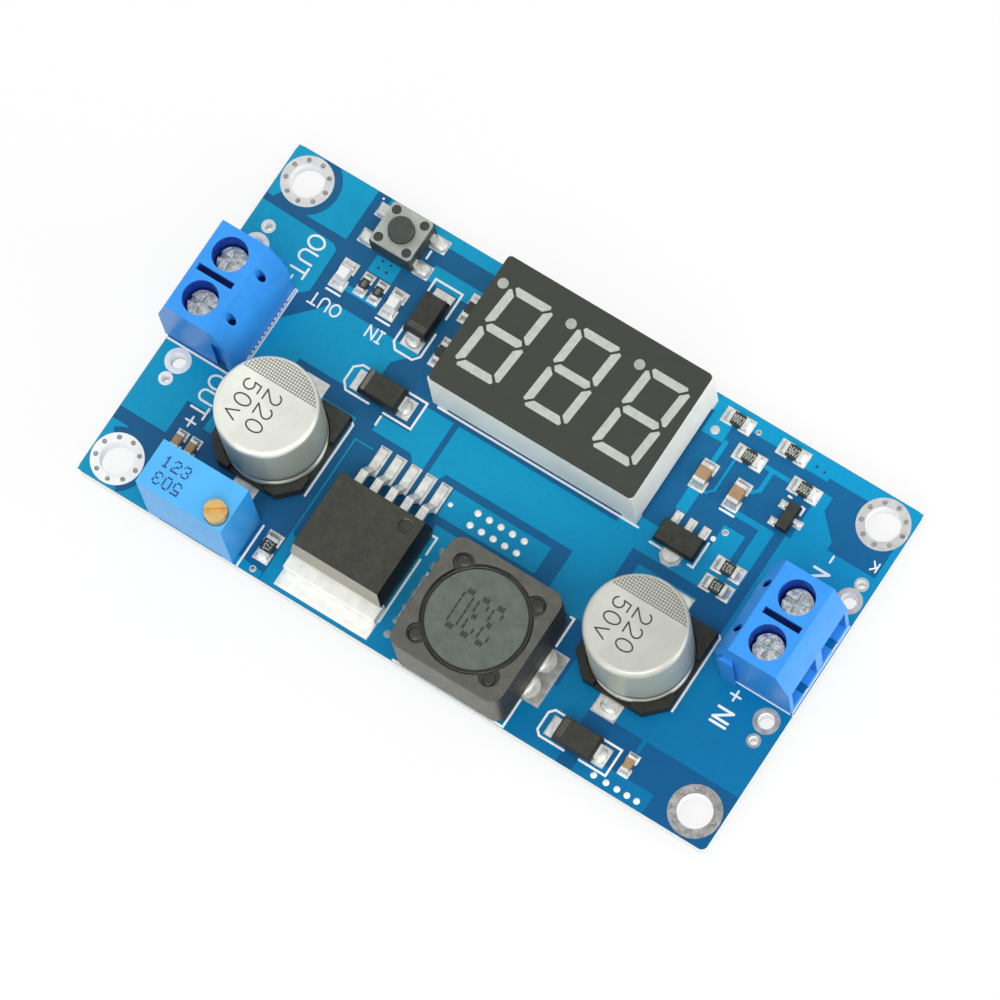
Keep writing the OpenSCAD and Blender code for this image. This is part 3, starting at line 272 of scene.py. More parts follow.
def pillow(low, high, z, crown, power=7, steps=13):
    """Cushion on a rectangle: the outline is a superellipse, and the height falls towards it with one minus
    a power of the distance from the middle, along and across."""
    middle = (np.asarray(low[:2]) + np.asarray(high[:2])) / 2
    half = (np.asarray(high[:2]) - np.asarray(low[:2])) / 2
    along = np.sin(np.linspace(-np.pi / 2, np.pi / 2, steps))
    across = np.linspace(-1, 1, 9)
    width = (1 - np.abs(along) ** power) ** (1 / power)
    arch = np.sqrt(np.clip(1 - np.abs(across) ** power, 0, 1))
    x = np.repeat((middle[0] + half[0] * along)[:, None], len(across), 1)
    y = middle[1] + half[1] * width[:, None] * across
    top = z + crown * (width[:, None] ** 2) * arch
    over = np.stack([x, y, top], -1)
    under = np.stack([x[:, [-1, 0]], y[:, [-1, 0]], np.full((steps, 2), z)], -1)
    return loft(np.concatenate([over, under], 1), caps=False)


def fillet(start, outward, reach, half_from, half_to, z, rise, foot=0.02):
    """Solder wedge from an upright face to the end of its pad: the height falls nearly as the square of what
    is left of the way, the width runs from the part's to the pad's, and both sides roll off."""
    outward = np.asarray(outward, float)
    beside = np.array([-outward[1], outward[0]])
    way = np.linspace(0, 1, 8)
    across = np.linspace(-1, 1, 9)
    half = (half_from + (half_to - half_from) * way) * (1 - 0.35 * way ** 6)
    height = foot + rise * (1 - way) ** 1.9
    flat = (np.asarray(start) + (reach * way)[:, None, None] * outward
            + (half[:, None] * across)[..., None] * beside)
    roll = np.sqrt(np.clip(1 - np.abs(across) ** 5, 0, 1))
    over = np.concatenate([flat, (z + height[:, None] * roll)[..., None]], -1)
    under = np.concatenate([flat[:, [-1, 0]], np.full((len(way), 2, 1), z)], -1)
    return loft(np.concatenate([over, under], 1))


def leftward(polygon):
    """Polygon whose points run anticlockwise: it is turned round where its signed area is negative."""
    flat = np.asarray(polygon, float)
    after = np.roll(flat, -1, 0)
    area = (flat[:, 0] * after[:, 1] - flat[:, 1] * after[:, 0]).sum()
    return flat if area > 0 else flat[::-1]


def sheet(layers, z, height):
    """Flat sheet with upright sides from layers of polygons, painted one over the other: the triangulation of
    all outlines is kept where the uppermost polygon over a triangle is a filled one."""
    points = []
    outlines = []
    for _, polygon in layers:
        outlines.append(list(range(len(points), len(points) + len(polygon))))
        points.extend(Vector(point) for point in leftward(polygon))
    flat, _, faces, _, _, origin = delaunay_2d_cdt(points, [], outlines, 1, 1e-5)
    kept = np.array([face for face, over in zip(faces, origin) if over and layers[max(over)][0]])
    flat = np.array([tuple(point) for point in flat])
    count = len(flat)
    edges = np.concatenate([kept[:, [0, 1]], kept[:, [1, 2]], kept[:, [2, 0]]])
    _, index, uses = np.unique(np.sort(edges, 1), axis=0, return_index=True, return_counts=True)
    border = edges[index[uses == 1]]
    walls = np.column_stack([border[:, 1], border[:, 0], border[:, 0] + count, border[:, 1] + count])
    faces = (kept + count).tolist() + kept[:, ::-1].tolist() + walls.tolist()
    return np.vstack([at_level(flat, z), at_level(flat, z + height)]), faces


def block(x0, y0, x1, y1):
    """Rectangle between two corners."""
    return [(x0, y0), (x1, y0), (x1, y1), (x0, y1)]


def pie(x, y, radius, start=0, end=360, steps=24):
    """Slice of a disc, or all of it."""
    angle = np.radians(np.linspace(start, end, steps, endpoint=end - start < 360))
    rim = np.column_stack([x + radius * np.cos(angle), y + radius * np.sin(angle)])
    tip = [] if end - start >= 360 else [(x, y)]
    return tip + [tuple(point) for point in rim.tolist()]


def bow(x, y, across, up, start, end, steps=9):
    """Arc of an ellipse."""
    angle = np.radians(np.linspace(start, end, steps))
    return np.column_stack([x + across * np.cos(angle), y + up * np.sin(angle)]).tolist()


# Crossing strokes lie at heights this far apart
STROKE_STEP = 0.003
# Strokes of the printed letters, in a cell one unit high, with each letter's width
STROKES = {
    "0": (0.62, [bow(0.31, 0.5, 0.31, 0.5, 0, 345, 16) + [(0.62, 0.5)]]),
    "1": (0.34, [[(0.02, 0.78), (0.26, 1)], [(0.26, 1), (0.26, 0)]]),
    "2": (0.62, [bow(0.31, 0.7, 0.3, 0.3, 165, -35), [(0.56, 0.52), (0.02, 0)], [(0.02, 0), (0.62, 0)]]),
    "3": (0.6, [bow(0.28, 0.76, 0.27, 0.24, 150, -90), bow(0.28, 0.26, 0.31, 0.26, 90, -150)]),
    "5": (0.6, [[(0.54, 1), (0.1, 1), (0.06, 0.56)], [(0.06, 0.56)] + bow(0.29, 0.33, 0.3, 0.33, 125, -150)]),
    "V": (0.62, [[(0, 0.72), (0.31, 0)], [(0.31, 0), (0.62, 0.72)]]),
    "I": (0.02, [[(0.01, 0), (0.01, 1)]]),
    "i": (0.4, [[(0, 0), (0.4, 0)], [(0, 1), (0.4, 1)], [(0.2, 0), (0.2, 1)]]),
    "6": (0.6, [bow(0.31, 0.3, 0.29, 0.3, 0, 345, 14) + [(0.6, 0.3)],
                [(0.02, 0.34)] + bow(0.4, 0.4, 0.38, 0.6, 170, 70)]),
    "N": (0.66, [[(0, 0), (0, 1)], [(0, 1), (0.66, 0)], [(0.66, 0), (0.66, 1)]]),
    "O": (0.8, [bow(0.4, 0.5, 0.4, 0.5, 0, 345, 20) + [(0.8, 0.5)]]),
    "U": (0.68, [[(0, 1), (0, 0.32)] + bow(0.34, 0.32, 0.34, 0.32, 190, 350) + [(0.68, 0.32), (0.68, 1)]]),
    "T": (0.7, [[(0, 1), (0.7, 1)], [(0.35, 1), (0.35, 0)]]),
    "K": (0.6, [[(0, 0), (0, 1)], [(0.62, 1), (0.02, 0.42)], [(0.18, 0.58), (0.64, 0)]]),
    "+": (0.6, [[(0, 0.5), (0.6, 0.5)], [(0.3, 0.2), (0.3, 0.8)]]),
    "-": (0.4, [[(0, 0.5), (0.4, 0.5)]]),
}
# Rows of dots of the stamped numerals, five dots wide and seven high
DOTS = {
    "0": "01110 10001 10001 10001 10001 10001 01110",
    "1": "00100 01100 00100 00100 00100 00100 01110",
    "2": "01110 10001 00001 00110 01000 10000 11111",
    "3": "01110 10001 00001 00110 00001 10001 01110",
    "5": "11111 10000 11110 00001 00001 10001 01110",
}


def placed(flat, x, y, turn):
    """Flat points turned by an angle in degrees and moved."""
    angle = math.radians(turn)
    spin = np.array([[math.cos(angle), math.sin(angle)], [-math.sin(angle), math.cos(angle)]])
    return np.asarray(flat) @ spin + (x, y)


def words(text, x, y, z, height, turn=0, line=0.18, gap=0.28, stretch=1.0, raise_by=0.02):
    """Printed word about its middle: the strokes of each letter as ribbons."""
    widths = [STROKES[letter][0] * stretch for letter in text]
    start = -(sum(widths) + gap * (len(text) - 1)) / 2
    shapes = []
    for letter, width in zip(text, widths):
        for order, stroke in enumerate(STROKES[letter][1]):
            flat = placed((np.asarray(stroke) * (stretch, 1) + (start, -0.5)) * height, x, y, turn)
            closed = np.allclose(flat[0], flat[-1])
            path = flat[:-1] if closed else flat
            shapes.append(ribbon(path, line, z, raise_by + order * STROKE_STEP, closed))
        start += width + gap
    return joined(shapes)


def stamped(text, x, y, z, step, pitch, dot, turn=0, raise_by=0.03):
    """Word of raised dots about its middle: an oval bump at each filled place of a five by seven grid. Bumps
    overlap, so that each is a little higher or lower than those beside it."""
    shapes = []
    angle = np.radians(np.arange(0, 360, 45))
    rim = np.column_stack([np.cos(angle), np.sin(angle)]) * dot
    middle = (len(text) - 1) / 2
    for place, letter in enumerate(text):
        rows = np.array([[int(mark) for mark in row] for row in DOTS[letter].split()])
        row, column = np.nonzero(rows)
        for across, down in zip((column - 2) * step[0] + (place - middle) * pitch, (3 - row) * step[1]):
            low = placed(rim + (across, down), x, y, turn)
            high = placed(rim * 0.9 + (across, down), x, y, turn)
            lift = raise_by + STROKE_STEP * ((len(shapes) * 5) % 7)
            shapes.append(loft(np.stack([at_level(low, z), at_level(high, z + lift)])))
    return joined(shapes)


def make_piece(name, shape, material, smooth=30.0):
    """Puts a shape into a mesh, merges its doubles and turns its faces outwards."""
    points, faces = shape
    mesh = bpy.data.meshes.new(name)
    mesh.from_pydata((np.asarray(points) * MM).tolist(), [], faces)
    work = bmesh.new()
    work.from_mesh(mesh)
    bmesh.ops.remove_doubles(work, verts=work.verts, dist=WELD)
    bmesh.ops.dissolve_degenerate(work, edges=work.edges, dist=WELD)
    bmesh.ops.recalc_face_normals(work, faces=work.faces)
    work.to_mesh(mesh)
    work.free()
    return finish_piece(name, mesh, material, smooth)


def finish_piece(name, mesh, material, smooth):
    """Makes the object of a mesh, smooth up to an angle, with its material and body."""
    mesh.polygons.foreach_set("use_smooth", np.full(len(mesh.polygons), smooth > 0))
    if smooth > 0:
        mesh.set_sharp_from_angle(angle=math.radians(smooth))
    mesh.materials.clear()
    mesh.materials.append(material)
    piece = bpy.data.objects.new(name, mesh)
    bpy.context.scene.collection.objects.link(piece)
    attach(piece, BODY)
    return piece


# Width of the rounded edges of each moulded or stamped node, in millimetres
SOFT_EDGES = {
    "out_terminal_housing": 0.07, "in_terminal_housing": 0.07, "trimmer_housing": 0.1, "switch_cover": 0.05,
    "regulator_body": 0.08, "regulator_tab": 0.08, "inductor_shield": 0.2, "output_capacitor_base": 0.06,
    "input_capacitor_base": 0.06, "diode_1_body": 0.06, "diode_2_body": 0.06, "diode_3_body": 0.06,
    "logic_regulator_body": 0.05, "transistor_body": 0.04, "chip_resistor_bodies": 0.03,
    "chip_capacitor_bodies": 0.06, "chip_ends": 0.05, "output_led": 0.05, "input_led": 0.05,
}


def softened(node, material, segments=2):
    """Copy of a CAD node that replaces it: doubles merged, flat faces joined and edges rounded by a bevel."""
    work = bmesh.new()
    work.from_mesh(frame["nodes"][node].data)
    bmesh.ops.remove_doubles(work, verts=work.verts, dist=WELD)
    bmesh.ops.dissolve_limit(
        work, angle_limit=math.radians(FLAT_ANGLE), verts=work.verts, edges=work.edges,
        use_dissolve_boundaries=False)
    mesh = bpy.data.meshes.new(node + "_soft")
    work.to_mesh(mesh)
    work.free()
    for name in ("custom_normal", "sharp_face", "sharp_edge"):
        if name in mesh.attributes:
            mesh.attributes.remove(mesh.attributes[name])
    piece = finish_piece(node + "_soft", mesh, material, SOFT_ANGLE)
    bevel = piece.modifiers.new("Rounded edges", "BEVEL")
    bevel.limit_method = "ANGLE"
    bevel.angle_limit = math.radians(SOFT_ANGLE)
    bevel.width = SOFT_EDGES[node] * MM
    bevel.segments = segments
    bevel.harden_normals = True
    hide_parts(node)


def dress(material, *nodes):
    """Gives CAD nodes a material."""
    for node in nodes:
        slots = frame["nodes"][node].data.materials
        slots.clear()
        slots.append(material)


# Materials


class Graph:
    """Builds one node tree with few words."""

    def __init__(self, tree):
        self.tree = tree
        tree.nodes.clear()

    def put(self, socket, value):
        if isinstance(value, bpy.types.NodeSocket):
            self.tree.links.new(value, socket)
        else:
            socket.default_value = value

    def add(self, kind, values=None, **settings):
        node = self.tree.nodes.new(kind)
        for key, value in settings.items():
            setattr(node, key, value)
        for key, value in (values or {}).items():
            self.put(node.inputs[key], value)
        return node

    def math(self, operation, first, second=0.0):
        return self.add("ShaderNodeMath", {0: first, 1: second}, operation=operation).outputs[0]

    def plus(self, first, second):
        return self.math("ADD", first, second)

    def minus(self, first, second):
        return self.math("SUBTRACT", first, second)

    def times(self, first, second):
        return self.math("MULTIPLY", first, second)

    def mix(self, factor, first, second):
        return self.add("ShaderNodeMix", {0: factor, 6: first, 7: second}, data_type="RGBA").outputs[2]

    def span(self, value, low, high, first=0.0, second=1.0):
        return self.add("ShaderNodeMapRange", {0: value, 1: low, 2: high, 3: first, 4: second}).outputs[0]

    def noise(self, vector, scale, detail=3.0, rough=0.55):
        values = {"Vector": vector, "Scale": scale, "Detail": detail, "Roughness": rough}
        return self.add("ShaderNodeTexNoise", values).outputs[0]

    def place(self, shift=None):
        """Object coordinates in millimetres, from a point of the frame."""
        coordinates = self.add("ShaderNodeTexCoord").outputs["Object"]
        values = {"Vector": coordinates, "Scale": (1 / MM,) * 3}
        if shift is not None:
            values["Location"] = tuple(-float(part) for part in shift)
        return self.add("ShaderNodeMapping", values).outputs[0]

    def axes(self, vector):
        return self.add("ShaderNodeSeparateXYZ", {0: vector}).outputs

    def group(self, name, **values):
        node = self.add("ShaderNodeGroup", node_tree=bpy.data.node_groups[name])
        for key, value in values.items():
            self.put(node.inputs[key.replace("_", " ")], value)
        return node.outputs

    def bump(self, height, depth):
        """Normal of a relief whose depth is in millimetres."""
        values = {"Height": height, "Distance": depth * MM, "Strength": 1.0}
        return self.add("ShaderNodeBump", values).outputs[0]


def new_group(name, inputs, outputs):
    """Empty node group with named sockets: its graph, its input sockets and its output node."""
    tree = bpy.data.node_groups.new(name, "ShaderNodeTree")
    for label, kind in inputs:
        tree.interface.new_socket(name=label, in_out="INPUT", socket_type="NodeSocket" + kind)
    for label, kind in outputs:
        tree.interface.new_socket(name=label, in_out="OUTPUT", socket_type="NodeSocket" + kind)
    graph = Graph(tree)
    return graph, graph.add("NodeGroupInput").outputs, graph.add("NodeGroupOutput")


# Dark blue in the weave under the solder mask
WEAVE_SHADE = (0.004, 0.05, 0.16, 1.0)


def build_groups():
    """Effects that several materials share."""
    # Two colours mixed by soft clouds
    graph, given, result = new_group(
        "Mottle",
        [("Vector", "Vector"), ("Light", "Color"), ("Dark", "Color"), ("Scale", "Float")],
        [("Color", "Color")])
    clouds = graph.noise(given["Vector"], given["Scale"], 4.0, 0.6)
    share = graph.span(clouds, 0.34, 0.66)
    graph.put(result.inputs["Color"], graph.mix(share, given["Dark"], given["Light"]))

    # Roughness between two values, and a fine height
    graph, given, result = new_group(
        "Grain",
        [("Vector", "Vector"), ("Scale", "Float"), ("Low", "Float"), ("High", "Float")],
        [("Roughness", "Float"), ("Height", "Float")])
    fine = graph.noise(given["Vector"], given["Scale"], 2.0, 0.5)
    broad = graph.noise(given["Vector"], graph.times(given["Scale"], 0.12), 3.0, 0.6)
    both = graph.plus(graph.times(fine, 0.5), graph.times(broad, 0.5))
    spread = graph.span(both, 0.32, 0.68)
    rough = graph.plus(given["Low"], graph.times(spread, graph.minus(given["High"], given["Low"])))
    graph.put(result.inputs["Roughness"], rough)
    graph.put(result.inputs["Height"], fine)

    # Thin slanting scratches
    graph, given, result = new_group(
        "Scuffs",
        [("Vector", "Vector"), ("Scale", "Float"), ("Share", "Float")],
        [("Mask", "Float"), ("Height", "Float")])
    stretch = graph.add("ShaderNodeMapping", {
        "Vector": given["Vector"], "Rotation": (0.3, 0.5, 0.9), "Scale": (1.0, 14.0, 6.0)}).outputs[0]
    lines = graph.noise(stretch, given["Scale"], 2.0, 0.5)
    edge = graph.minus(0.74, graph.times(given["Share"], 0.2))
    mask = graph.span(lines, edge, 0.8)
    graph.put(result.inputs["Mask"], mask)
    graph.put(result.inputs["Height"], graph.minus(1.0, mask))

    # Colour that shifts along the board, with painted shade that deepens into its near corner, and a faint
    # weave
    graph, given, result = new_group(
        "Across the board",
        [("Vector", "Vector"), ("Left", "Color"), ("Right", "Color"), ("Corner", "Color"),
         ("Depth", "Float")],
        [("Color", "Color")])
    along, across, _ = graph.axes(given["Vector"])
    share = graph.span(along, -36.0, 30.0)
    drift = graph.noise(given["Vector"], 0.09, 2.0, 0.5)
    share = graph.plus(share, graph.times(graph.minus(drift, 0.5), 0.5))
    colour = graph.mix(share, given["Left"], given["Right"])
    slant = graph.minus(along, graph.times(across, 2.0))
    slant = graph.plus(slant, graph.times(drift, 24.0))
    # Painted shade: the colour turns to the darker corner colour towards the near corner at the input end
    colour = graph.mix(graph.span(slant, 6.0, 62.0), colour, given["Corner"])
    cloth = graph.noise(given["Vector"], 2.2, 3.0, 0.6)
    shade = graph.span(cloth, 0.3, 0.7, 0.0, given["Depth"])
    graph.put(result.inputs["Color"], graph.mix(shade, colour, WEAVE_SHADE))


def new_material(name):
    """Empty material: itself and its graph."""
    material = bpy.data.materials.new(name)
    material.use_nodes = True
    return material, Graph(material.node_tree)


def shaded(graph, **values):
    """Principled surface with the given sockets, put out as the material's surface."""
    surface = graph.add("ShaderNodeBsdfPrincipled")
    for key, value in values.items():
        graph.put(surface.inputs[key.replace("_", " ")], value)
    output = graph.add("ShaderNodeOutputMaterial")
    graph.put(output.inputs["Surface"], surface.outputs[0])
    return surface


def facing_shade(graph, colour, side=None, front=None):
    """Painted light and shade by facing: colour that gives way to others on faces that look along the board
    and on faces that look forward.
    """
    normal = graph.axes(graph.add("ShaderNodeTexCoord").outputs["Normal"])
    if side is not None:
        colour = graph.mix(graph.span(graph.math("ABSOLUTE", normal[0]), 0.5, 0.8), colour, side)
    if front is not None:
        colour = graph.mix(graph.span(normal[1], -0.8, -0.5, 1.0, 0.0), colour, front)
    return colour


# Fixed tones of small finishes, light and dark, as sRGB from 0 to 255
TONES = {
    "Dashes": ((30, 60, 90), (22, 46, 76)),
    "Bright tin": ((255, 255, 250), (238, 240, 234)),
    "Hole plating": ((255, 255, 255), (250, 250, 248)),
    "Masked via": ((150, 172, 180), (114, 142, 158)),
    "Covered via": ((8, 60, 110), (4, 40, 84)),
    "Well plastic": ((10, 70, 184), (7, 54, 150)),
    "Slot plastic": ((14, 30, 84), (10, 22, 64)),
    "Blue-black ink": ((34, 62, 128), (24, 44, 96)),
    "Carrier board": ((60, 110, 74), (44, 88, 58)),
    "Winding": ((196, 112, 62), (150, 78, 40)),
    "Stamped ink": ((46, 48, 45), (36, 38, 35)),
    "Resistor film": ((44, 45, 41), (32, 33, 30)),
    "Value ink": ((214, 218, 208), (170, 174, 164)),
    "Pale band": ((122, 119, 109), (98, 95, 86)),
}
# Skin of each finish: scale of the mottling, lowest and highest roughness, scale of the grain, depth of the
# bump in millimetres, and share of scuffs
SKINS = {
    "White ink": (1.5, 0.5, 0.7, 6.0, 0.004, 0.0),
    "Dashes": (2.0, 0.4, 0.6, 6.0, 0.004, 0.0),
    "Tin": (1.3, 0.28, 0.46, 3.0, 0.01, 0.2),
    "Dull tin": (1.2, 0.36, 0.52, 3.0, 0.012, 0.4),
    "Bright tin": (1.1, 0.3, 0.44, 3.0, 0.008, 0.2),
    "Hole plating": (1.0, 0.4, 0.5, 3.0, 0.004, 0.0),
    "Masked via": (2.0, 0.3, 0.5, 4.0, 0.01, 0.0),
    "Plated hole": (3.0, 0.3, 0.5, 6.0, 0.01, 0.0),
    "Covered via": (3.0, 0.3, 0.5, 6.0, 0.004, 0.0),
    "Terminal plastic": (0.4, 0.3, 0.42, 2.0, 0.003, 0.0),
    "Well plastic": (1.0, 0.4, 0.6, 3.0, 0.004, 0.0),
    "Slot plastic": (1.0, 0.4, 0.6, 3.0, 0.004, 0.0),
    "Trimmer plastic": (0.4, 0.3, 0.44, 2.0, 0.003, 0.0),
    "Brass": (0.9, 0.3, 0.44, 3.0, 0.006, 0.6),
    "Blue-black ink": (3.0, 0.5, 0.7, 8.0, 0.004, 0.0),
    "Stamped steel": (0.7, 0.38, 0.52, 5.0, 0.008, 0.3),
    "Switch base": (1.0, 0.45, 0.6, 5.0, 0.01, 0.0),
    "Button": (0.8, 0.4, 0.55, 4.0, 0.012, 0.0),
    "Display housing": (0.3, 0.35, 0.5, 3.0, 0.008, 0.0),
    "Display face": (0.6, 0.4, 0.55, 6.0, 0.006, 0.0),
    "Segments": (1.6, 0.4, 0.55, 5.0, 0.008, 0.0),
    "Points": (1.6, 0.4, 0.55, 5.0, 0.008, 0.0),
    "Carrier board": (1.2, 0.4, 0.55, 5.0, 0.01, 0.0),
    "Controller resin": (1.5, 0.5, 0.65, 6.0, 0.01, 0.0),
    "Resin": (1.4, 0.45, 0.62, 7.0, 0.014, 0.0),
    "Glue": (0.8, 0.2, 0.36, 1.6, 0.05, 0.0),
    "Winding": (1.0, 0.25, 0.4, 3.0, 0.02, 0.0),
    "Stamped ink": (3.0, 0.5, 0.7, 8.0, 0.004, 0.0),
    "Can ink": (2.0, 0.45, 0.6, 6.0, 0.004, 0.0),
    "Resistor film": (1.5, 0.35, 0.5, 5.0, 0.01, 0.0),
    "Ceramic": (1.3, 0.4, 0.55, 5.0, 0.01, 0.0),
    "Lamp resin": (1.2, 0.2, 0.35, 3.0, 0.01, 0.0),
    "Value ink": (2.0, 0.5, 0.7, 8.0, 0.004, 0.0),
    "Pale band": (3.0, 0.5, 0.7, 8.0, 0.004, 0.0),
}


def finish(name, colour=None, light=1.0, dark=1.0, side=None, front=None, kind=None, **values):
    """Finish of one stuff: a colour mottled between a light and a dark share of itself, or between its two
    fixed tones, with roughness between two values and a fine bump."""
    if colour is None:
        bright, dim = [srgb(*tone) for tone in TONES[name]]
    else:
        bright, dim = scaled(colour, light), scaled(colour, dark)
    scale, smooth, rough, grain, depth, scuffs = SKINS[kind or name]
    material, graph = new_material(name)
    place = graph.place()
    shade = graph.group("Mottle", Vector=place, Light=bright, Dark=dim, Scale=scale)["Color"]
    skin = graph.group("Grain", Vector=place, Scale=grain, Low=smooth, High=rough)
    height = skin["Height"]
    if scuffs:
        marks = graph.group("Scuffs", Vector=place, Scale=0.6, Share=scuffs)
        shade = graph.mix(graph.times(marks["Mask"], 0.35), shade, bright)
        height = graph.plus(height, graph.times(marks["Height"], 0.6))
    # Painted light and shade: side and front colours on faces that look along the board and forward
    if side is not None or front is not None:
        shade = facing_shade(graph, shade, side, front)
    shaded(graph, Base_Color=shade, Roughness=skin["Roughness"], Normal=graph.bump(height, depth), **values)
    return material


def colour_property(label, about, red, green, blue):
    """Colour that a user can change, given as sRGB from 0 to 255."""
    return bpy.props.FloatVectorProperty(
        name=label, description=about, subtype="COLOR", size=4, min=0.0, max=1.0,
        default=srgb(red, green, blue))


def number_property(label, about, default, **settings):
    """Number that a user can change."""
    return bpy.props.FloatProperty(name=label, description=about, default=default, **settings)


class ModuleBoardLook(bpy.types.PropertyGroup):
    """Colours and thicknesses of the circuit board"""

    pour_left: colour_property("Mask over copper, left", "Mask over copper at the output end", 20, 160, 202)
    pour_right: colour_property("Mask over copper, right", "Mask over copper at the input end", 6, 158, 210)
    bare_left: colour_property("Bare mask, left", "Mask over laminate at the output end", 32, 98, 142)
    bare_right: colour_property("Bare mask, right", "Mask over laminate at the input end", 18, 106, 160)
    # Painted shade: darker mask colours towards the board's near corner at the input end
    pour_corner_shade: colour_property("Mask over copper, corner", "Mask over copper by the input", 0, 118, 172)
    bare_corner_shade: colour_property("Bare mask, corner", "Mask over laminate by the input", 10, 92, 146)
    laminate: colour_property("Laminate", "Cut edge of the glass laminate", 236, 244, 240)
    ink: colour_property("Ink", "White printing ink", 252, 254, 255)
    pour_thickness: number_property("Copper", "Thickness of the copper in millimetres", 0.03, min=0.0)
    ink_thickness: number_property("Ink", "Thickness of the printing ink in millimetres", 0.02, min=0.0)
    line: number_property("Line", "Width of the printed lines in millimetres", 0.22, min=0.0)


class ModuleStuffLook(bpy.types.PropertyGroup):
    """Colours of the components"""

    terminal: colour_property("Terminals", "Moulded blue plastic", 60, 158, 250)
    trimmer: colour_property("Trimmer", "Moulded pale blue plastic", 90, 188, 255)
    # Painted shade: darker blues for the trimmer's ends and front
    trimmer_side_shade: colour_property("Trimmer sides", "Pale blue plastic on the trimmer's ends", 46, 151, 225)
    trimmer_front_shade: colour_property("Trimmer front", "Pale blue plastic on the trimmer's front", 60, 156, 220)
    resin: colour_property("Resin", "Dark moulding resin", 62, 63, 56)
    # Painted reflection: pale colour of the regulator's front slope
    bevel: colour_property("Bevel", "Pale front slope of the regulator", 160, 157, 146)
    button: colour_property("Button", "Dark grey button", 62, 69, 64)
    housing: colour_property("Housing", "White display housing", 255, 254, 242)
    face: colour_property("Face", "Dark display face", 46, 51, 42)
    segment: colour_property("Segments", "Unlit display segments", 196, 203, 194)
    ferrite: colour_property("Core", "Grey ferrite core", 96, 106, 100)
    shield: colour_property("Shield", "Warm grey ferrite shield", 93, 93, 87)
    glue: colour_property("Glue", "Dark cured glue", 44, 45, 40)
    ceramic: colour_property("Ceramic", "Fired ceramic of the chip capacitors", 178, 143, 104)
    lamp: colour_property("Lamps", "Pale cast resin of the indicator lamps", 255, 255, 250)
    tin: colour_property("Tin", "Tinned copper and solder", 236, 237, 232)
    ring: colour_property("Rings", "Tinned rings of the mounting holes and wire holes", 255, 255, 253)
    zinc: colour_property("Zinc", "Plated screws", 234, 242, 242)
    steel: colour_property("Steel", "Stamped cover of the push button", 176, 182, 173)
    brass: colour_property("Brass", "Turned brass", 228, 190, 122)
    aluminium: colour_property("Aluminium", "Drawn capacitor cans", 228, 230, 221)
    # Darker side colour of the cans, partly painted shade
    flank: colour_property("Can sides", "Drawn side of the capacitor cans", 178, 184, 170)
    mark: colour_property("Marks", "Dark numbers on the capacitor cans", 58, 60, 58)
    hatch: colour_property("Hatch", "Hatched printing on the capacitor cans", 92, 90, 80)


class ModuleStageLook(bpy.types.PropertyGroup):
    """Floor, light and camera"""

    floor: colour_property("Floor", "Pale floor", 250, 250, 250)
    sky: number_property("Sky", "Strength of the even light", 0.68, min=0.0)
    key: number_property("Key", "Power of the main lamp", 1.9, min=0.0, unit="POWER")
    front: number_property("Front", "Power of the front lamp", 0.45, min=0.0, unit="POWER")
    side: number_property("Side", "Power of the lamp at the input end", 1.15, min=0.0, unit="POWER")
    azimuth: number_property("Azimuth", "Camera azimuth", math.radians(47.215303), subtype="ANGLE")
    elevation: number_property("Elevation", "Camera elevation", math.radians(72.364001), subtype="ANGLE")
    roll: number_property("Roll", "Camera roll", math.radians(-14.739489), subtype="ANGLE")
    distance: number_property("Distance", "Camera distance", 0.6707565, min=0.0, unit="LENGTH")
    target: bpy.props.FloatVectorProperty(
        name="Target", description="Point that the camera looks at", size=3, subtype="XYZ", unit="LENGTH",
        default=(0.000221723, -0.000257862, 0.0))
    lens: number_property("Lens", "Focal length in millimetres on a 36 mm sensor", 258.164, min=1.0)


# Ringed holes: place and outer radius of the ring, in millimetres
RINGS = [
    (-32.25, -16.2, 2.6), (-32.25, 16.2, 2.6), (32.25, -16.2, 2.6), (32.25, 16.2, 2.6),
    (-32.9, 8.3, 1.3), (-32.75, -5.15, 1.3), (33.2, -5.5, 1.3), (33.5, 8.25, 1.3),
    (-32.9, 10.5, 0.7), (-32.8, -7.2, 0.7), (33.2, -7.7, 0.7), (33.65, 10.2, 0.7),
]
# Bare discs under the rings
RING_GAPS = [(False, pie(x, y, radius - 0.03, steps=48)) for x, y, radius in RINGS]

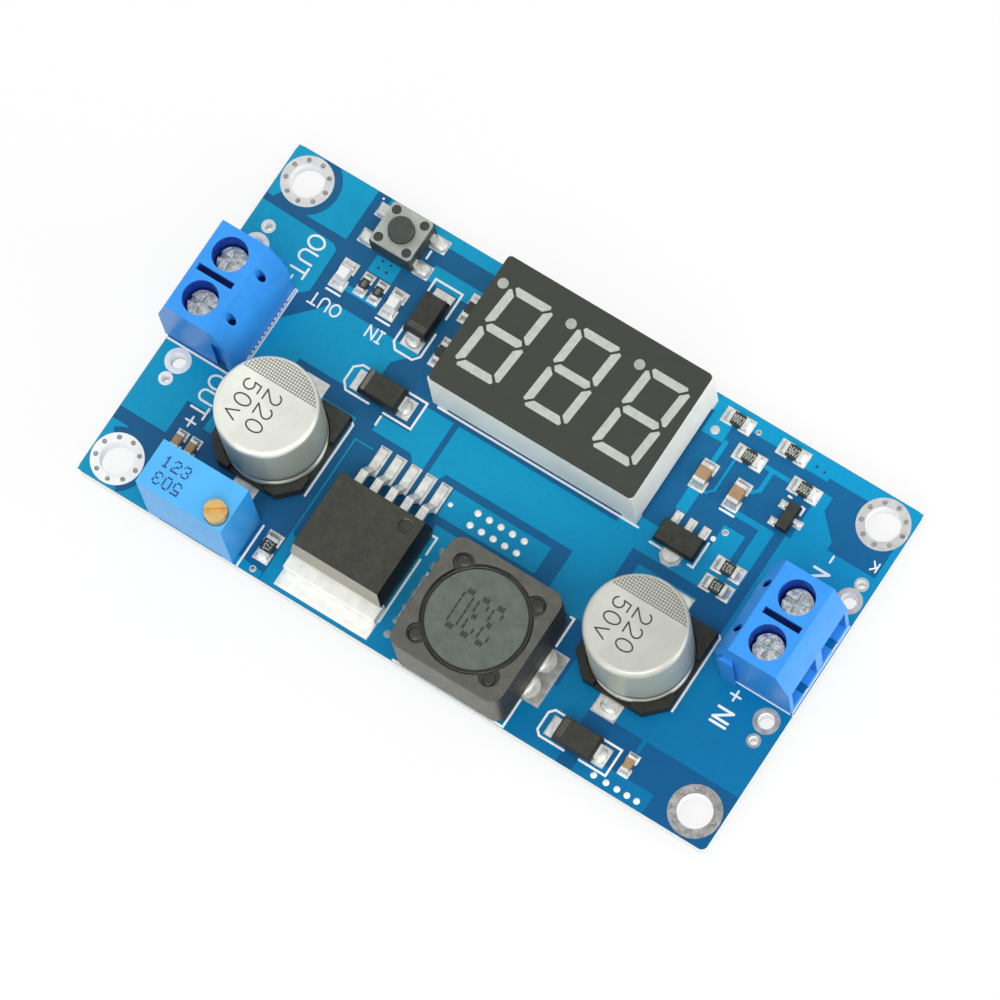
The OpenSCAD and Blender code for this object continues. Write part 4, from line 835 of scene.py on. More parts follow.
# Copper under the solder mask, painted in layers: filled areas and bare gaps, in millimetres
TOP_LAYERS = [
    (True, block(-34.95, 13.3, -25.9, 18.95)),
    (False, pie(-32.25, 16.2, 3.4, -125, 85)),
    (True, [(-34.95, 12.6), (-26.7, 12.35), (-26.1, 11.9), (-26.0, 7.2), (-27.0, 6.3), (-34.95, 6.3)]),
    (True, block(-17.2, 17.65, -10.0, 18.95)),
    (True, block(-24.4, 18.25, -17.1, 18.95)),
    (True, block(-17.2, 13.9, -10.0, 15.6)),
    (True, block(-22.5, 11.8, -19.8, 13.6)),
    (True, block(-23.5, 8.95, -19.7, 9.6)),
    (True, [(-23.4, 7.4), (-13.5, 7.4), (-14.0, 6.9), (-15.6, 5.3), (-15.6, 1.1), (-23.1, 1.1),
            (-23.1, -0.95), (-15.3, -0.95), (-15.3, -9.5), (-27.0, -9.5), (-27.0, 3.4), (-24.3, 6.2)]),
    (True, [(-13.4, 0.45), (-10.3, 0.45), (-10.3, 3.4), (-7.2, 3.4), (-7.2, -1.9), (-8.4, -1.9), (-9.0, -1.2),
            (-13.4, -1.2)]),
    (True, [(-6.6, 3.4), (11.0, 3.4), (11.0, 5.0), (14.9, 5.0), (14.9, 2.05), (13.7, 2.05), (13.7, -6.5),
            (9.1, -6.5), (9.1, -1.2), (-5.0, -1.2), (-5.4, -1.9), (-6.6, -1.9)]),
    (True, block(14.8, 2.05, 24.1, 5.7)),
    (True, [(22.7, 5.6), (24.1, 5.6), (24.1, 10.2), (18.9, 10.2), (18.9, 9.6), (22.7, 9.6)]),
    (True, block(19.7, 5.6, 22.0, 8.4)),
    (True, block(-3.6, -4.95, 7.25, -2.0)),
    (True, block(-3.2, -18.95, 0.5, -5.8)),
    (True, block(0.4, -18.95, 13.2, -18.2)),
    # Painted shade: beside this thin copper edge, the copper left of the regulator is left bare where it lies
    # in shade
    (True, [(-14.3, -2.68), (-12.2, -2.68), (-12.2, -2.82), (-14.15, -2.82), (-14.15, -13.4), (-12.9, -14.4),
            (-12.9, -18.95), (-14.3, -18.95)]),
    (True, block(-12.9, -18.95, -3.2, -6.5)),
    (True, [(-34.95, -3.9), (-27.3, -3.9), (-27.3, -7.9), (-29.8, -7.9), (-29.8, -11.65), (-34.95, -11.65)]),
    (True, [(-34.95, -13.0), (-33.2, -13.0), (-27.0, -17.2), (-14.4, -18.2), (-14.4, -18.95),
            (-34.95, -18.95)]),
    (False, pie(-32.25, -16.2, 3.2, -60, 130)),
    (True, block(11.5, 17.35, 34.95, 18.95)),
    (True, block(12.9, 15.0, 15.2, 17.5)),
    (True, block(15.25, 12.9, 15.75, 15.4)),
    (True, block(23.0, 16.95, 25.6, 17.5)),
    (True, [(19.9, 15.4), (22.6, 15.4), (22.6, 14.95), (20.95, 14.95), (20.95, 12.9), (20.3, 12.25),
            (19.6, 12.25), (19.6, 12.6), (20.1, 12.6), (20.5, 13.0), (20.5, 14.95), (19.9, 14.95)]),
    (True, block(17.0, 10.6, 17.25, 14.4)),
    (True, block(14.9, 7.4, 16.1, 10.4)),
    # Painted shade: this outline leaves the copper bare at x 21.4 to 25.1 and y -1 to 2, where the board lies
    # in shade by the input capacitor
    (True, [(25.1, 10.5), (25.6, 10.5), (25.6, 15.9), (26.9, 15.9), (26.9, 14.4), (29.1, 12.2), (29.1, 11.35),
            (34.95, 11.35), (34.95, -13.0), (15.0, -13.0), (15.0, 1.0), (21.4, 1.0), (21.4, -1.0),
            (25.1, -1.0)]),
    (True, block(12.9, -18.95, 18.7, -12.9)),
    (True, block(24.5, -14.4, 24.95, -12.9)),
    (True, block(20.4, -18.95, 28.2, -16.9)),
    (True, [(17.0, 10.8), (17.25, 10.8), (16.6, 10.0), (15.9, 10.0), (15.9, 10.25), (16.5, 10.25)]),
    (True, block(34.35, 11.3, 34.95, 17.4)),
]
UNDER_LAYERS = [
    (True, block(-34.7, -18.7, 34.7, 18.7)),
    (False, block(-24.6, -18.7, -24.1, 6.0)),
    (False, block(-24.6, 5.5, -9.0, 6.0)),
    (False, block(-9.5, 5.5, -9.0, 18.7)),
    (False, block(14.2, -18.7, 14.7, 9.0)),
    (False, block(14.2, 8.5, 34.7, 9.0)),
    *[(False, pie(x, y, 3.3)) for x, y, _ in RINGS[:4]],
]
# Printed outlines round the components, in millimetres
PRINTED_LINES = [
    [(-27.2, 6.6), (-27.2, -1.5)], [(-27.05, 6.6), (-27.05, -1.9)], [(34.8, -3.75), (34.8, 6.2)],
    [(-35.0, -3.75), (-28.0, -3.75)], [(27.2, -3.75), (34.9, -3.75)],
    [(-16.45, 13.1), (-16.45, 14.45), (-13.45, 14.45), (-13.45, 11.6)],
    [(-16.45, 8.9), (-16.45, 7.2), (-15.9, 6.55), (-14.0, 6.55), (-13.45, 7.2), (-13.45, 9.8)],
    [(-16.2, 3.7), (-17.6, 3.7), (-18.3, 3.1), (-18.3, 1.5), (-17.7, 0.8), (-15.1, 0.8)],
    [(-12.7, 3.7), (-10.35, 3.7), (-10.35, 0.75), (-13.4, 0.75)],
    [(17.1, -14.9), (16.1, -14.9), (15.65, -15.4), (15.65, -17.3), (16.1, -17.75), (18.8, -17.75)],
    [(21.3, -14.9), (23.4, -14.9), (23.4, -17.75), (20.5, -17.75)],
    [(-15.5, -1.5), (-15.15, -1.75), (-15.2, -9.9)], [(25.1, -0.9), (25.3, -1.1), (25.3, -9.3)],
    [(-2.8, -6.85), (-2.35, -6.85), (-2.35, -8.7)], [(-2.55, -9.4), (-2.55, -16.5)],
    [(12.4, -6.65), (12.8, -6.65), (12.8, -9.7)], [(12.8, -15.8), (12.8, -18.85), (0.6, -18.85)],
    [(-24.8, 8.25), (-23.3, 8.25)], [(-19.2, 8.25), (-17.7, 8.25)], [(18.5, 9.5), (20.0, 9.5)],
    [(19.45, 6.1), (19.45, 3.35), (18.9, 3.35)], [(14.7, 3.35), (16.0, 3.35)],
    [(23.3, 13.9), (23.6, 13.9)], [(24.9, 13.65), (25.2, 13.6), (25.2, 12.9)],
    [(-13.4, -0.6), (-13.4, 0.35)], [(-18.35, 15.7), (-18.35, 16.5)], [(-16.85, -14.4), (-16.85, -18.9)],
    [(-9.3, 3.95), (13.0, 3.95)],
]
# Printed words: text, place, height, turn, line and gap between letters
PRINTED_WORDS = [
    ("OUT", -28.1, 10.0, 1.66, -90, 0.22, 0.24), ("OUT", -28.4, -6.55, 1.66, -90, 0.22, 0.24),
    ("+", -28.4, -9.5, 1.75, -90, 0.2, 0.28), ("-", -28.25, 7.3, 1.75, -90, 0.2, 0.28),
    ("IN", 29.5, -7.35, 1.62, 90, 0.26, 0.28), ("+", 29.5, -4.95, 1.75, 90, 0.2, 0.28),
    ("IN", 29.8, 8.6, 1.62, 90, 0.26, 0.28), ("-", 30.0, 10.8, 1.75, 90, 0.2, 0.28),
    ("OUT", -24.0, 6.8, 1.2, 180, 0.18, 0.28), ("iN", -18.35, 6.8, 1.2, 180, 0.18, 0.28),
    ("K", 33.78, 12.3, 0.9, 180, 0.16, 0.28),
]
# How deep the printing reaches into the copper and its mask, in millimetres
INK_SINK = 0.02
# Dark dashes of painted shadow on the printed edge by the output: place, width, length and height in
# millimetres
DASH_X = -27.27
DASH_ROWS = np.arange(-1.0, 5.3, 0.55)
DASH_WIDTH = 0.16
DASH_LENGTH = 0.1
DASH_RISE = 0.016
# Solder-filled vias: place and radius
VIAS = (
    [(x, y, 0.36) for x in (-0.43, 0.85, 2.14, 3.43, 4.74) for y in (-2.8, -4.16)]
    + [(x, -18.25, 0.33) for x in (22.45, 23.8, 25.0, 26.1, 27.15)]
    + [(-3.1, -3.45, 0.26)])
# Solder-filled vias that the mask covers: place and radius
MASKED_VIAS = [(-1.17, y, 0.42) for y in np.linspace(-7.7, -17.0, 7)]
# Open plated holes: place and radius
PLATED_VIAS = [(20.2, 7.8, 0.33), (17.6, 17.65, 0.27), (-15.4, -18.4, 0.33)]
# Small vias under the mask
COVERED_VIAS = [(-21.7, 13.3), (-20.8, 13.3), (-21.7, 12.5), (-20.8, 12.5), (24.0, 17.7), (24.9, 17.6)]
# Round dots of ink: place and radius
PRINTED_DOTS = [(19.55, 6.7, 0.27), (-25.1, 18.55, 0.12)]


class MODULE_OT_dress_board(bpy.types.Operator):
    """Paint the board and lay the copper under its mask"""

    bl_idname = "module.dress_board"
    bl_label = "Board"

    def execute(self, context):
        look = context.scene.module_board
        dress(self.bare_mask(look), "circuit_board")
        pour = self.mask("Mask over copper", look.pour_left, look.pour_right, look.pour_corner_shade, 0.1)[0]
        thick = look.pour_thickness
        over = sheet(TOP_LAYERS + RING_GAPS, TOP, thick)
        make_piece("copper_top", over, pour, 0)
        under = sheet(UNDER_LAYERS + RING_GAPS, UNDER - thick, thick)
        make_piece("copper_under", under, pour, 0)
        return {"FINISHED"}

    @staticmethod
    def mask(name, left, right, corner, weave):
        """Glossy solder mask whose blue shifts along the board, with painted shade in its near corner and a
        faint weave.
        """
        material, graph = new_material(name)
        place = graph.place()
        colour = graph.group(
            "Across the board", Vector=place, Left=left, Right=right, Corner=corner, Depth=weave)["Color"]
        skin = graph.group("Grain", Vector=place, Scale=3.0, Low=0.26, High=0.42)
        surface = shaded(graph, Base_Color=colour, Roughness=skin["Roughness"],
                         Normal=graph.bump(skin["Height"], 0.003), Specular_IOR_Level=0.14)
        return material, graph, surface, colour

    def bare_mask(self, look):
        """Mask on the flat faces, and pale glass laminate with fibre rows where the board is cut."""
        material, graph, surface, colour = self.mask(
            "Bare mask", look.bare_left, look.bare_right, look.bare_corner_shade, 0.14)
        upright = graph.add("ShaderNodeTexCoord").outputs["Normal"]
        flat = graph.math("GREATER_THAN", graph.math("ABSOLUTE", graph.axes(upright)[2]), 0.5)
        place = graph.place()
        rows = graph.add("ShaderNodeMapping", {"Vector": place, "Scale": (0.6, 0.6, 9.0)}).outputs[0]
        fibre = graph.mix(graph.noise(rows, 2.0), look.laminate, scaled(look.laminate, 0.72))
        graph.put(surface.inputs["Base Color"], graph.mix(flat, fibre, colour))
        return material


class MODULE_OT_print_board(bpy.types.Operator):
    """Print the outlines and words on the board"""

    bl_idname = "module.print_board"
    bl_label = "Printing"

    def execute(self, context):
        look = context.scene.module_board
        foot = TOP + look.pour_thickness - INK_SINK
        thick = look.ink_thickness + INK_SINK
        shapes = [ribbon(path, look.line, foot, thick) for path in PRINTED_LINES]
        for text, x, y, height, turn, line, gap in PRINTED_WORDS:
            shapes.append(words(text, x, y, foot, height, turn, line, gap, raise_by=thick))
        for x, y, radius in PRINTED_DOTS:
            shapes.append(button_disc(x, y, foot, radius, thick))
        make_piece("printing", joined(shapes), finish("White ink", look.ink, dark=0.94), 0)
        # Painted shadow: dark dashes along the printed edge at the output terminal's foot
        level = foot + thick - SINK
        dashes = [ribbon([(DASH_X, y), (DASH_X, y + DASH_LENGTH)], DASH_WIDTH, level, DASH_RISE)
                  for y in DASH_ROWS]
        make_piece("printed_dashes", joined(dashes), finish("Dashes"), 0)
        return {"FINISHED"}


# Nodes of tinned copper and solder
TINNED_NODES = (
    "solder_joints", "chip_ends", "regulator_leads", "diode_1_leads", "diode_2_leads", "diode_3_leads",
    "logic_regulator_leads", "transistor_leads", "switch_legs", "inductor_clips", "output_capacitor_leads",
    "input_capacitor_leads", "microcontroller_leads", "trimmer_pins", "display_pins", "out_terminal_contacts",
    "in_terminal_contacts")
# Triangles of a plain box, which tell a flat pad from a round one
BOX_TRIANGLES = 12
# Pads this near to the inductor's middle are dull, in millimetres
CLIP_REACH = 7.5
# The rings' tin turns from bright to dull, as painted light, over this reach of x times a lean, and the lean
# falls along y
RING_REACH = 45.0
RING_LEAN = 0.806
RING_LEAN_FALL = 0.0364
# Heights of the tin on pads and vias, in millimetres
PAD_CROWN = 0.05
LEG_CROWN = 0.5
VIA_RISE = 0.1
# Round test pad: place, radius and height
TEST_PAD = (13.98, 15.73)
TEST_PAD_RADIUS = 0.45
TEST_PAD_RISE = 0.06
# Small vias under the mask: height of their foot over the board, radius and height
COVERED_FOOT = 0.02
COVERED_RADIUS = 0.14
COVERED_RISE = 0.02
# Bare edge of a pad round its solder, the slack in finding the pad under a point, and how far that point lies
# outside a part's end or inside a leg's toe
PAD_SPARE = 0.04
PAD_SLACK = 0.02
END_STEP = 0.05
LEG_STEP = 0.1
# Share of a chip part's end, and of a regulator's toe, that the solder climbs
CHIP_CLIMB = 0.8
TOE_CLIMB = 0.9
# Length and height of the toes of the regulator's leads
TOE_LENGTH = 0.4
TOE_HEIGHT = 0.42
# Mounds of solder: step outwards from the lead, half size outwards, half size beside it, and height. By the
# inductor's clips, the half size beside is a quarter of the clip less the given length.
CLIP_MOUND = (0.08, 0.38, 0.1, 0.3)
CAN_MOUND = (0.1, 0.5, 0.85, 0.16)
DIODE_MOUND = (0.22, 0.56, 0.82, 0.34)
TRANSISTOR_MOUND = (0.2, 0.42, 0.38, 0.2)
# Rectifiers: number, axis along which the leads stand out, and side of the mound
DIODE_SIDES = ((1, 1, -1), (2, 0, 1), (3, 0, 1))
# Dished plugs on the rings of the mounting holes: distance from the hole's middle, angles in degrees, and a
# section of radii and heights
PLUG_DISTANCE = 2.12
PLUG_ANGLES = np.arange(-2, 358, 40)
PLUG_SECTION = np.array([
    (0.0, -0.02), (0.25, -0.02), (0.25, 0.02), (0.19, 0.03), (0.12, 0.012), (0.0, 0.008)])
# Open plated holes: share of the radius and height of the dark disc, and the rim's section as shares of the
# radius and heights
OPEN_SHARE = 0.72
OPEN_RISE = 0.045
RIM_SECTION = np.array([(0.7, 0.0), (1.0, 0.0), (1.0, 0.04), (0.85, 0.06), (0.7, 0.05)])
# Plating in the ringed holes: thickness, and the drop of its inner edge
BARREL_WALL = 0.05
BARREL_DROP = 0.03


class MODULE_OT_tin_pads(bpy.types.Operator):
    """Tin the pads, fill the vias and draw the solder up to the parts"""

    bl_idname = "module.tin_pads"
    bl_label = "Solder"

    def execute(self, context):
        look = context.scene.module_stuff
        tin = finish("Tin", look.tin, dark=0.7, Metallic=0.5)
        dull = finish("Dull tin", look.tin, 0.5, 0.3, Metallic=0.55)
        bright = finish("Bright tin", Metallic=0.4)
        dark = finish("Plated hole", look.tin, 0.5, 0.2, Metallic=1.0)
        ring = self.ring_finish(look)
        dress(ring, "tinned_pads")
        dress(tin, *TINNED_NODES)
        pads = [pad for pad in solids("tinned_pads") if pad[0][2] > TOP - SINK]
        flats = [pad for pad in pads if pad[2] == BOX_TRIANGLES]
        middle = centre_of("inductor_shield")[:2]
        plain = []
        clipped = []
        for low, high, _ in flats:
            near = np.abs((low + high)[:2] / 2 - middle).max() < CLIP_REACH
            (clipped if near else plain).append(pillow(low, high, SEAT - SINK, PAD_CROWN))
        for name, shapes, material, slot in (
            ("pad_crowns", plain, tin, "tin"),
            ("clip_pad_crowns", clipped, dull, "tin"),
            ("tab_pad_crown", [self.tab_pad(pads)], bright, "tin"),
            ("via_discs", self.filled(VIAS), bright, "tin"),
            ("test_pad", [button_disc(*TEST_PAD, TOP, TEST_PAD_RADIUS, TEST_PAD_RISE)], ring, "tin"),
            ("hole_barrels", self.barrels(), finish("Hole plating"), "tin"),
            ("masked_vias", self.filled(MASKED_VIAS), finish("Masked via"), "solder_mask"),
            ("chip_solder", self.chip_wedges(flats), tin, "tin"),
            ("lead_solder", self.lead_wedges(flats), tin, "tin"),
            ("ring_vias", self.ring_vias(), dark, "tin"),
            ("covered_vias", self.covered(), finish("Covered via"), "solder_mask"),
            ("hole_rims", self.hole_rims(), tin, "tin"),
        ):
            make_piece(name, joined(shapes), material, CAST_ANGLE)
        return {"FINISHED"}

    @staticmethod
    def ring_finish(look):
        """Brushed tin of the rings, with painted light that is brightest at the near output corner and
        dullest at the near input corner.
        """
        material, graph = new_material("Ring tin")
        place = graph.place()
        x, y, _ = graph.axes(place)
        bright = graph.group("Mottle", Vector=place, Light=look.ring, Dark=scaled(look.ring, 0.92), Scale=1.1)
        dull = graph.group(
            "Mottle", Vector=place, Light=scaled(look.ring, 0.42), Dark=scaled(look.ring, 0.2), Scale=1.6)
        lean = graph.minus(RING_LEAN, graph.times(y, RING_LEAN_FALL))
        share = graph.span(graph.times(x, lean), -RING_REACH, RING_REACH)
        skin = graph.group("Grain", Vector=place, Scale=3.0, Low=0.34, High=0.5)
        colour = graph.mix(share, bright["Color"], dull["Color"])
        shaded(graph, Base_Color=colour, Roughness=skin["Roughness"], Metallic=0.3,
               Normal=graph.bump(skin["Height"], 0.008))
        return material

    @staticmethod
    def filled(places):
        """Disc of solder on each filled via."""
        return [button_disc(x, y, TOP, radius, VIA_RISE) for x, y, radius in places]

    @staticmethod
    def covered():
        """Dark spot over each small via under the mask."""
        foot = TOP + COVERED_FOOT
        return [button_disc(x, y, foot, COVERED_RADIUS, COVERED_RISE, steps=10) for x, y in COVERED_VIAS]

    @staticmethod
    def tab_pad(pads):
        """Cushion on the part of the regulator's pad that lies before its tab."""
        low, high, _ = max(pads, key=lambda pad: pad[1][0] - pad[0][0])
        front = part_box("regulator_tab")[0].y / MM + PAD_SPARE
        return pillow(low, (high[0], front), SEAT - SINK, PAD_CROWN, power=12)

    @staticmethod
    def pad_under(flats, point):
        """Pad whose rectangle holds a point."""
        for low, high, _ in flats:
            if (low[:2] - PAD_SLACK <= point[:2]).all() and (point[:2] <= high[:2] + PAD_SLACK).all():
                return low, high
        raise ValueError(f"no pad under {point}")

    def wedge(self, flats, low, high, axis, side, climb):
        """Wedge from one upright face of a box to the end of the pad under it."""
        middle = (low + high) / 2
        face = high[axis] if side > 0 else low[axis]
        probe = middle.copy()
        probe[axis] = face + side * END_STEP
        pad_low, pad_high = self.pad_under(flats, probe)
        end = pad_high[axis] if side > 0 else pad_low[axis]
        other = 1 - axis
        start = middle[:2].copy()
        start[axis] = face
        outward = np.zeros(2)
        outward[axis] = side
        half = (high[other] - low[other]) / 2
        pad_half = (pad_high[other] - pad_low[other]) / 2
        rise = (high[2] - SEAT) * climb
        return fillet(start, outward, abs(end - face) - PAD_SPARE, half, pad_half - PAD_SPARE, SEAT, rise)

    def chip_wedges(self, flats):
        """One wedge at each end of each chip part, away from the part's middle."""
        nodes = ("chip_resistor_bodies", "chip_capacitor_bodies", "output_led", "input_led")
        bodies = np.array([(low + high) / 2 for node in nodes for low, high, _ in solids(node)])
        wedges = []
        for low, high, _ in solids("chip_ends"):
            middle = (low + high) / 2
            away = middle - bodies[np.argmin(np.linalg.norm(bodies[:, :2] - middle[:2], axis=1))]
            axis = int(np.argmax(np.abs(away[:2])))
            wedges.append(self.wedge(flats, low, high, axis, np.sign(away[axis]), CHIP_CLIMB))
        return wedges

    def lead_wedges(self, flats):
        """Solder of the other leads: wedges past the regulator's toes, cushions on the switch's pads, and
        mounds by the inductor's clips, the cans' leads, the rectifiers and the transistor."""
        wedges = []
        for low, high, _ in solids("regulator_leads"):
            toe_low = np.array([low[0], high[1] - TOE_LENGTH, low[2]])
            toe_high = np.array([high[0], high[1], SEAT + TOE_HEIGHT])
            wedges.append(self.wedge(flats, toe_low, toe_high, 1, 1, TOE_CLIMB))
        middle = centre_of("switch_base")
        for low, high, _ in solids("switch_legs"):
            toe = high[0] - LEG_STEP if low[0] > middle[0] else low[0] + LEG_STEP
            pad_low, pad_high = self.pad_under(flats, np.array([toe, (low[1] + high[1]) / 2]))
            wedges.append(pillow(pad_low + PAD_SPARE, pad_high - PAD_SPARE, SEAT, LEG_CROWN, power=4))
        step, out, inset, rise = CLIP_MOUND
        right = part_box("inductor_shield")[1].x / MM
        for low, high, _ in solids("inductor_clips"):
            if high[0] > right:
                half = (high[1] - low[1]) / 4
                for y in (low[1] + half, high[1] - half):
                    wedges.append(mound(right + step, y, high[2] - 2 * SINK, out, half - inset, rise))
        step, out, beside, rise = CAN_MOUND
        for end in ENDS:
            low, high = corners_of(end + "_capacitor_leads")
            for y in (low[1] - step, high[1] + step):
                wedges.append(mound((low[0] + high[0]) / 2, y, SEAT, beside, out, rise))
        step, out, beside, rise = DIODE_MOUND
        for number, axis, side in DIODE_SIDES:
            low, high = corners_of(f"diode_{number}_leads")
            place = (low + high)[:2] / 2
            place[axis] = (high if side > 0 else low)[axis] + side * step
            half = np.full(2, beside)
            half[axis] = out
            wedges.append(mound(*place, SEAT, *half, rise))
        step, out, beside, rise = TRANSISTOR_MOUND
        middle = centre_of("transistor_body")
        for low, high, _ in solids("transistor_leads"):
            place = (low + high)[:2] / 2
            place[0] += step * np.sign(place[0] - middle[0])
            wedges.append(mound(*place, SEAT, out, beside, rise))
        return wedges

    @staticmethod
    def ring_vias():
        """Small dished plugs on the rings of the mounting holes, and the open plated holes of the board."""
        shapes = []
        for x, y, _ in RINGS[:4]:
            for angle in np.radians(PLUG_ANGLES):
                place = (x + PLUG_DISTANCE * math.cos(angle), y + PLUG_DISTANCE * math.sin(angle))
                shapes.append(revolved(PLUG_SECTION + (0, SEAT), *place, steps=12))
        for x, y, radius in PLATED_VIAS:
            shapes.append(button_disc(x, y, TOP, OPEN_SHARE * radius, OPEN_RISE, steps=14))
        return shapes

    @staticmethod
    def hole_rims():
        """Low tinned rims round the open plated holes."""
        shapes = []
        for x, y, radius in PLATED_VIAS:
            shapes.append(revolved(RIM_SECTION * (radius, 1) + (0, TOP), x, y, steps=16, loop=True))
        return shapes

    @staticmethod
    def barrels():
        """Plating inside the ringed holes: a thin tube from the underside to the top of each ring."""
        flat = points_of("tinned_pads")[:, :2]
        shapes = []
        for x, y, _ in RINGS:
            bore = np.linalg.norm(flat - (x, y), axis=1).min()
            inner = bore - BARREL_WALL
            tube = [(inner, UNDER), (bore, UNDER), (bore, SEAT), (inner, SEAT - BARREL_DROP)]
            shapes.append(revolved(tube, x, y, steps=48, loop=True))
        return shapes


# Painted shade in the screw wells of the terminals: radius, play and thickness of the dark lining, its foot
# below the screw's top and its rim below the housing's top, in millimetres
WELL_RADIUS = 1.75
WELL_PLAY = 0.01
WELL_LINING = 0.05
WELL_FOOT = 1.5
WELL_RIM = 0.22
# Painted shade in the probe holes: radius, distance from the housing's inner end, depth of the dark filling
# and its height
PROBE_RADIUS = 0.425
PROBE_INSET = 1.04
PROBE_DEPTH = 2.7
PROBE_FILL = 0.2
# Painted shade in the slot between the wells, as a dark filling: half its length and width, and depth of its
# floor and top
SLOT_HALF = (1.98, 0.33)
SLOT_FLOOR = 1.4
SLOT_TOP = 0.5
# Gloss and depth of the moulded blue plastics
BLUE_PLASTIC = {
    "Specular_IOR_Level": 0.22, "Subsurface_Weight": 0.06, "Subsurface_Radius": (0.0004, 0.0006, 0.001)}


class MODULE_OT_dress_terminals(bpy.types.Operator):
    """Finish the screw terminals: blue housings, plated screws and clamp cages"""

    bl_idname = "module.dress_terminals"
    bl_label = "Screw terminals"

    def execute(self, context):
        look = context.scene.module_stuff
        # Painted shade: the housings' forward faces take a darker blue
        front = scaled(look.terminal, 0.62)
        plastic = finish("Terminal plastic", look.terminal, dark=0.9, front=front, **BLUE_PLASTIC)
        zinc = self.zinc(look)
        wells, slots = self.hollow_shades()
        # Painted shade: a dark lining in each screw well, and darker fillings in the slots and probe holes
        shade = finish("Well plastic", Specular_IOR_Level=0.05)
        make_piece("terminal_wells", joined(wells), shade, CAST_ANGLE)
        dark = finish("Slot plastic", Specular_IOR_Level=0.05)
        make_piece("terminal_slots", joined(slots), dark, CAST_ANGLE)
        for end in TERMINAL_ENDS:
            softened(end + "_terminal_housing", plastic)
            for pole in (1, 2):
                dress(zinc, f"{end}_terminal_screw_{pole}", f"{end}_terminal_cage_{pole}")
        return {"FINISHED"}

    @staticmethod
    def hollow_shades():
        """Painted shade in the terminals' hollows: dark linings in the screw wells, and dark fillings in the
        probe holes and the slot between the wells.
        """
        wells = []
        slots = []
        outer = WELL_RADIUS - WELL_PLAY
        inner = outer - WELL_LINING
        for end in TERMINAL_ENDS:
            low, high = corners_of(end + "_terminal_housing")
            heads = [centre_of(f"{end}_terminal_screw_{pole}") for pole in (1, 2)]
            foot = top_of(end + "_terminal_screw_1") - WELL_FOOT
            rim = high[2] - WELL_RIM
            shade_lining = [(inner, foot), (outer, foot), (outer, rim), (inner, rim)]
            probe = high[0] - PROBE_INSET if end == "out" else low[0] + PROBE_INSET
            for x, y, _ in heads:
                wells.append(revolved(shade_lining, x, y, steps=48, loop=True))
                slots.append(button_disc(probe, y, high[2] - PROBE_DEPTH, PROBE_RADIUS - SINK, PROBE_FILL))
            middle = (heads[0] + heads[1])[:2] / 2
            slot = np.array(block(*(middle - SLOT_HALF), *(middle + SLOT_HALF)))
            levels = [at_level(slot, high[2] - depth) for depth in (SLOT_FLOOR, SLOT_TOP)]
            slots.append(loft(np.stack(levels)))
        return wells, slots

    @staticmethod
    def zinc(look):
        """Plated steel with crystal facets: each cell of a pattern has its own tone and tilt."""
        material, graph = new_material("Zinc")
        place = graph.place()
        cells = graph.add("ShaderNodeTexVoronoi", {"Vector": place, "Scale": 2.3, "Randomness": 1.0})
        tone = graph.axes(cells.outputs["Color"])[0]
        clouds = graph.noise(place, 1.7, 3.0)
        shade = graph.times(graph.plus(tone, clouds), 0.5)
        colour = graph.mix(graph.span(shade, 0.25, 0.7), scaled(look.zinc, 0.55), look.zinc)
        skin = graph.group("Grain", Vector=place, Scale=4.0, Low=0.2, High=0.4)
        height = graph.plus(graph.times(tone, 0.7), clouds)
        shaded(graph, Base_Color=colour, Metallic=0.6, Roughness=skin["Roughness"],
               Normal=graph.bump(height, 0.09))
        return material


# Numbers on the trimmer: text, place from its middle, step between rows of dots, and turn
TRIMMER_NUMBERS = [("123", -2.18, 0.7, 0.18, 0), ("503", -2.08, -1.08, 0.19, 180)]
TRIMMER_COLUMN_STEP = 0.165
TRIMMER_DOTS = {"pitch": 1.05, "dot": 0.1, "raise_by": 0.02}


class MODULE_OT_dress_trimmer(bpy.types.Operator):
    """Finish the trimmer: pale blue housing, brass screw and stamped numbers"""

    bl_idname = "module.dress_trimmer"
    bl_label = "Trimmer"

    def execute(self, context):
        look = context.scene.module_stuff
        # Painted shade on the housing's ends and front
        plastic = finish("Trimmer plastic", look.trimmer, dark=0.92, side=look.trimmer_side_shade,
                         front=look.trimmer_front_shade, **BLUE_PLASTIC)
        softened("trimmer_housing", plastic)
        dress(finish("Brass", look.brass, dark=0.78, Metallic=0.85), "trimmer_screw")
        x, y, _ = centre_of("trimmer_housing")
        level = top_of("trimmer_housing") - SINK
        marks = []
        for text, along, across, row_step, turn in TRIMMER_NUMBERS:
            step = (TRIMMER_COLUMN_STEP, row_step)
            marks.append(stamped(text, x + along, y + across, level, step, turn=turn, **TRIMMER_DOTS))
        make_piece("trimmer_numbers", joined(marks), finish("Blue-black ink"), 0)
        return {"FINISHED"}


# Thickness of the snap dome in millimetres
DOME_SKIN = 0.1


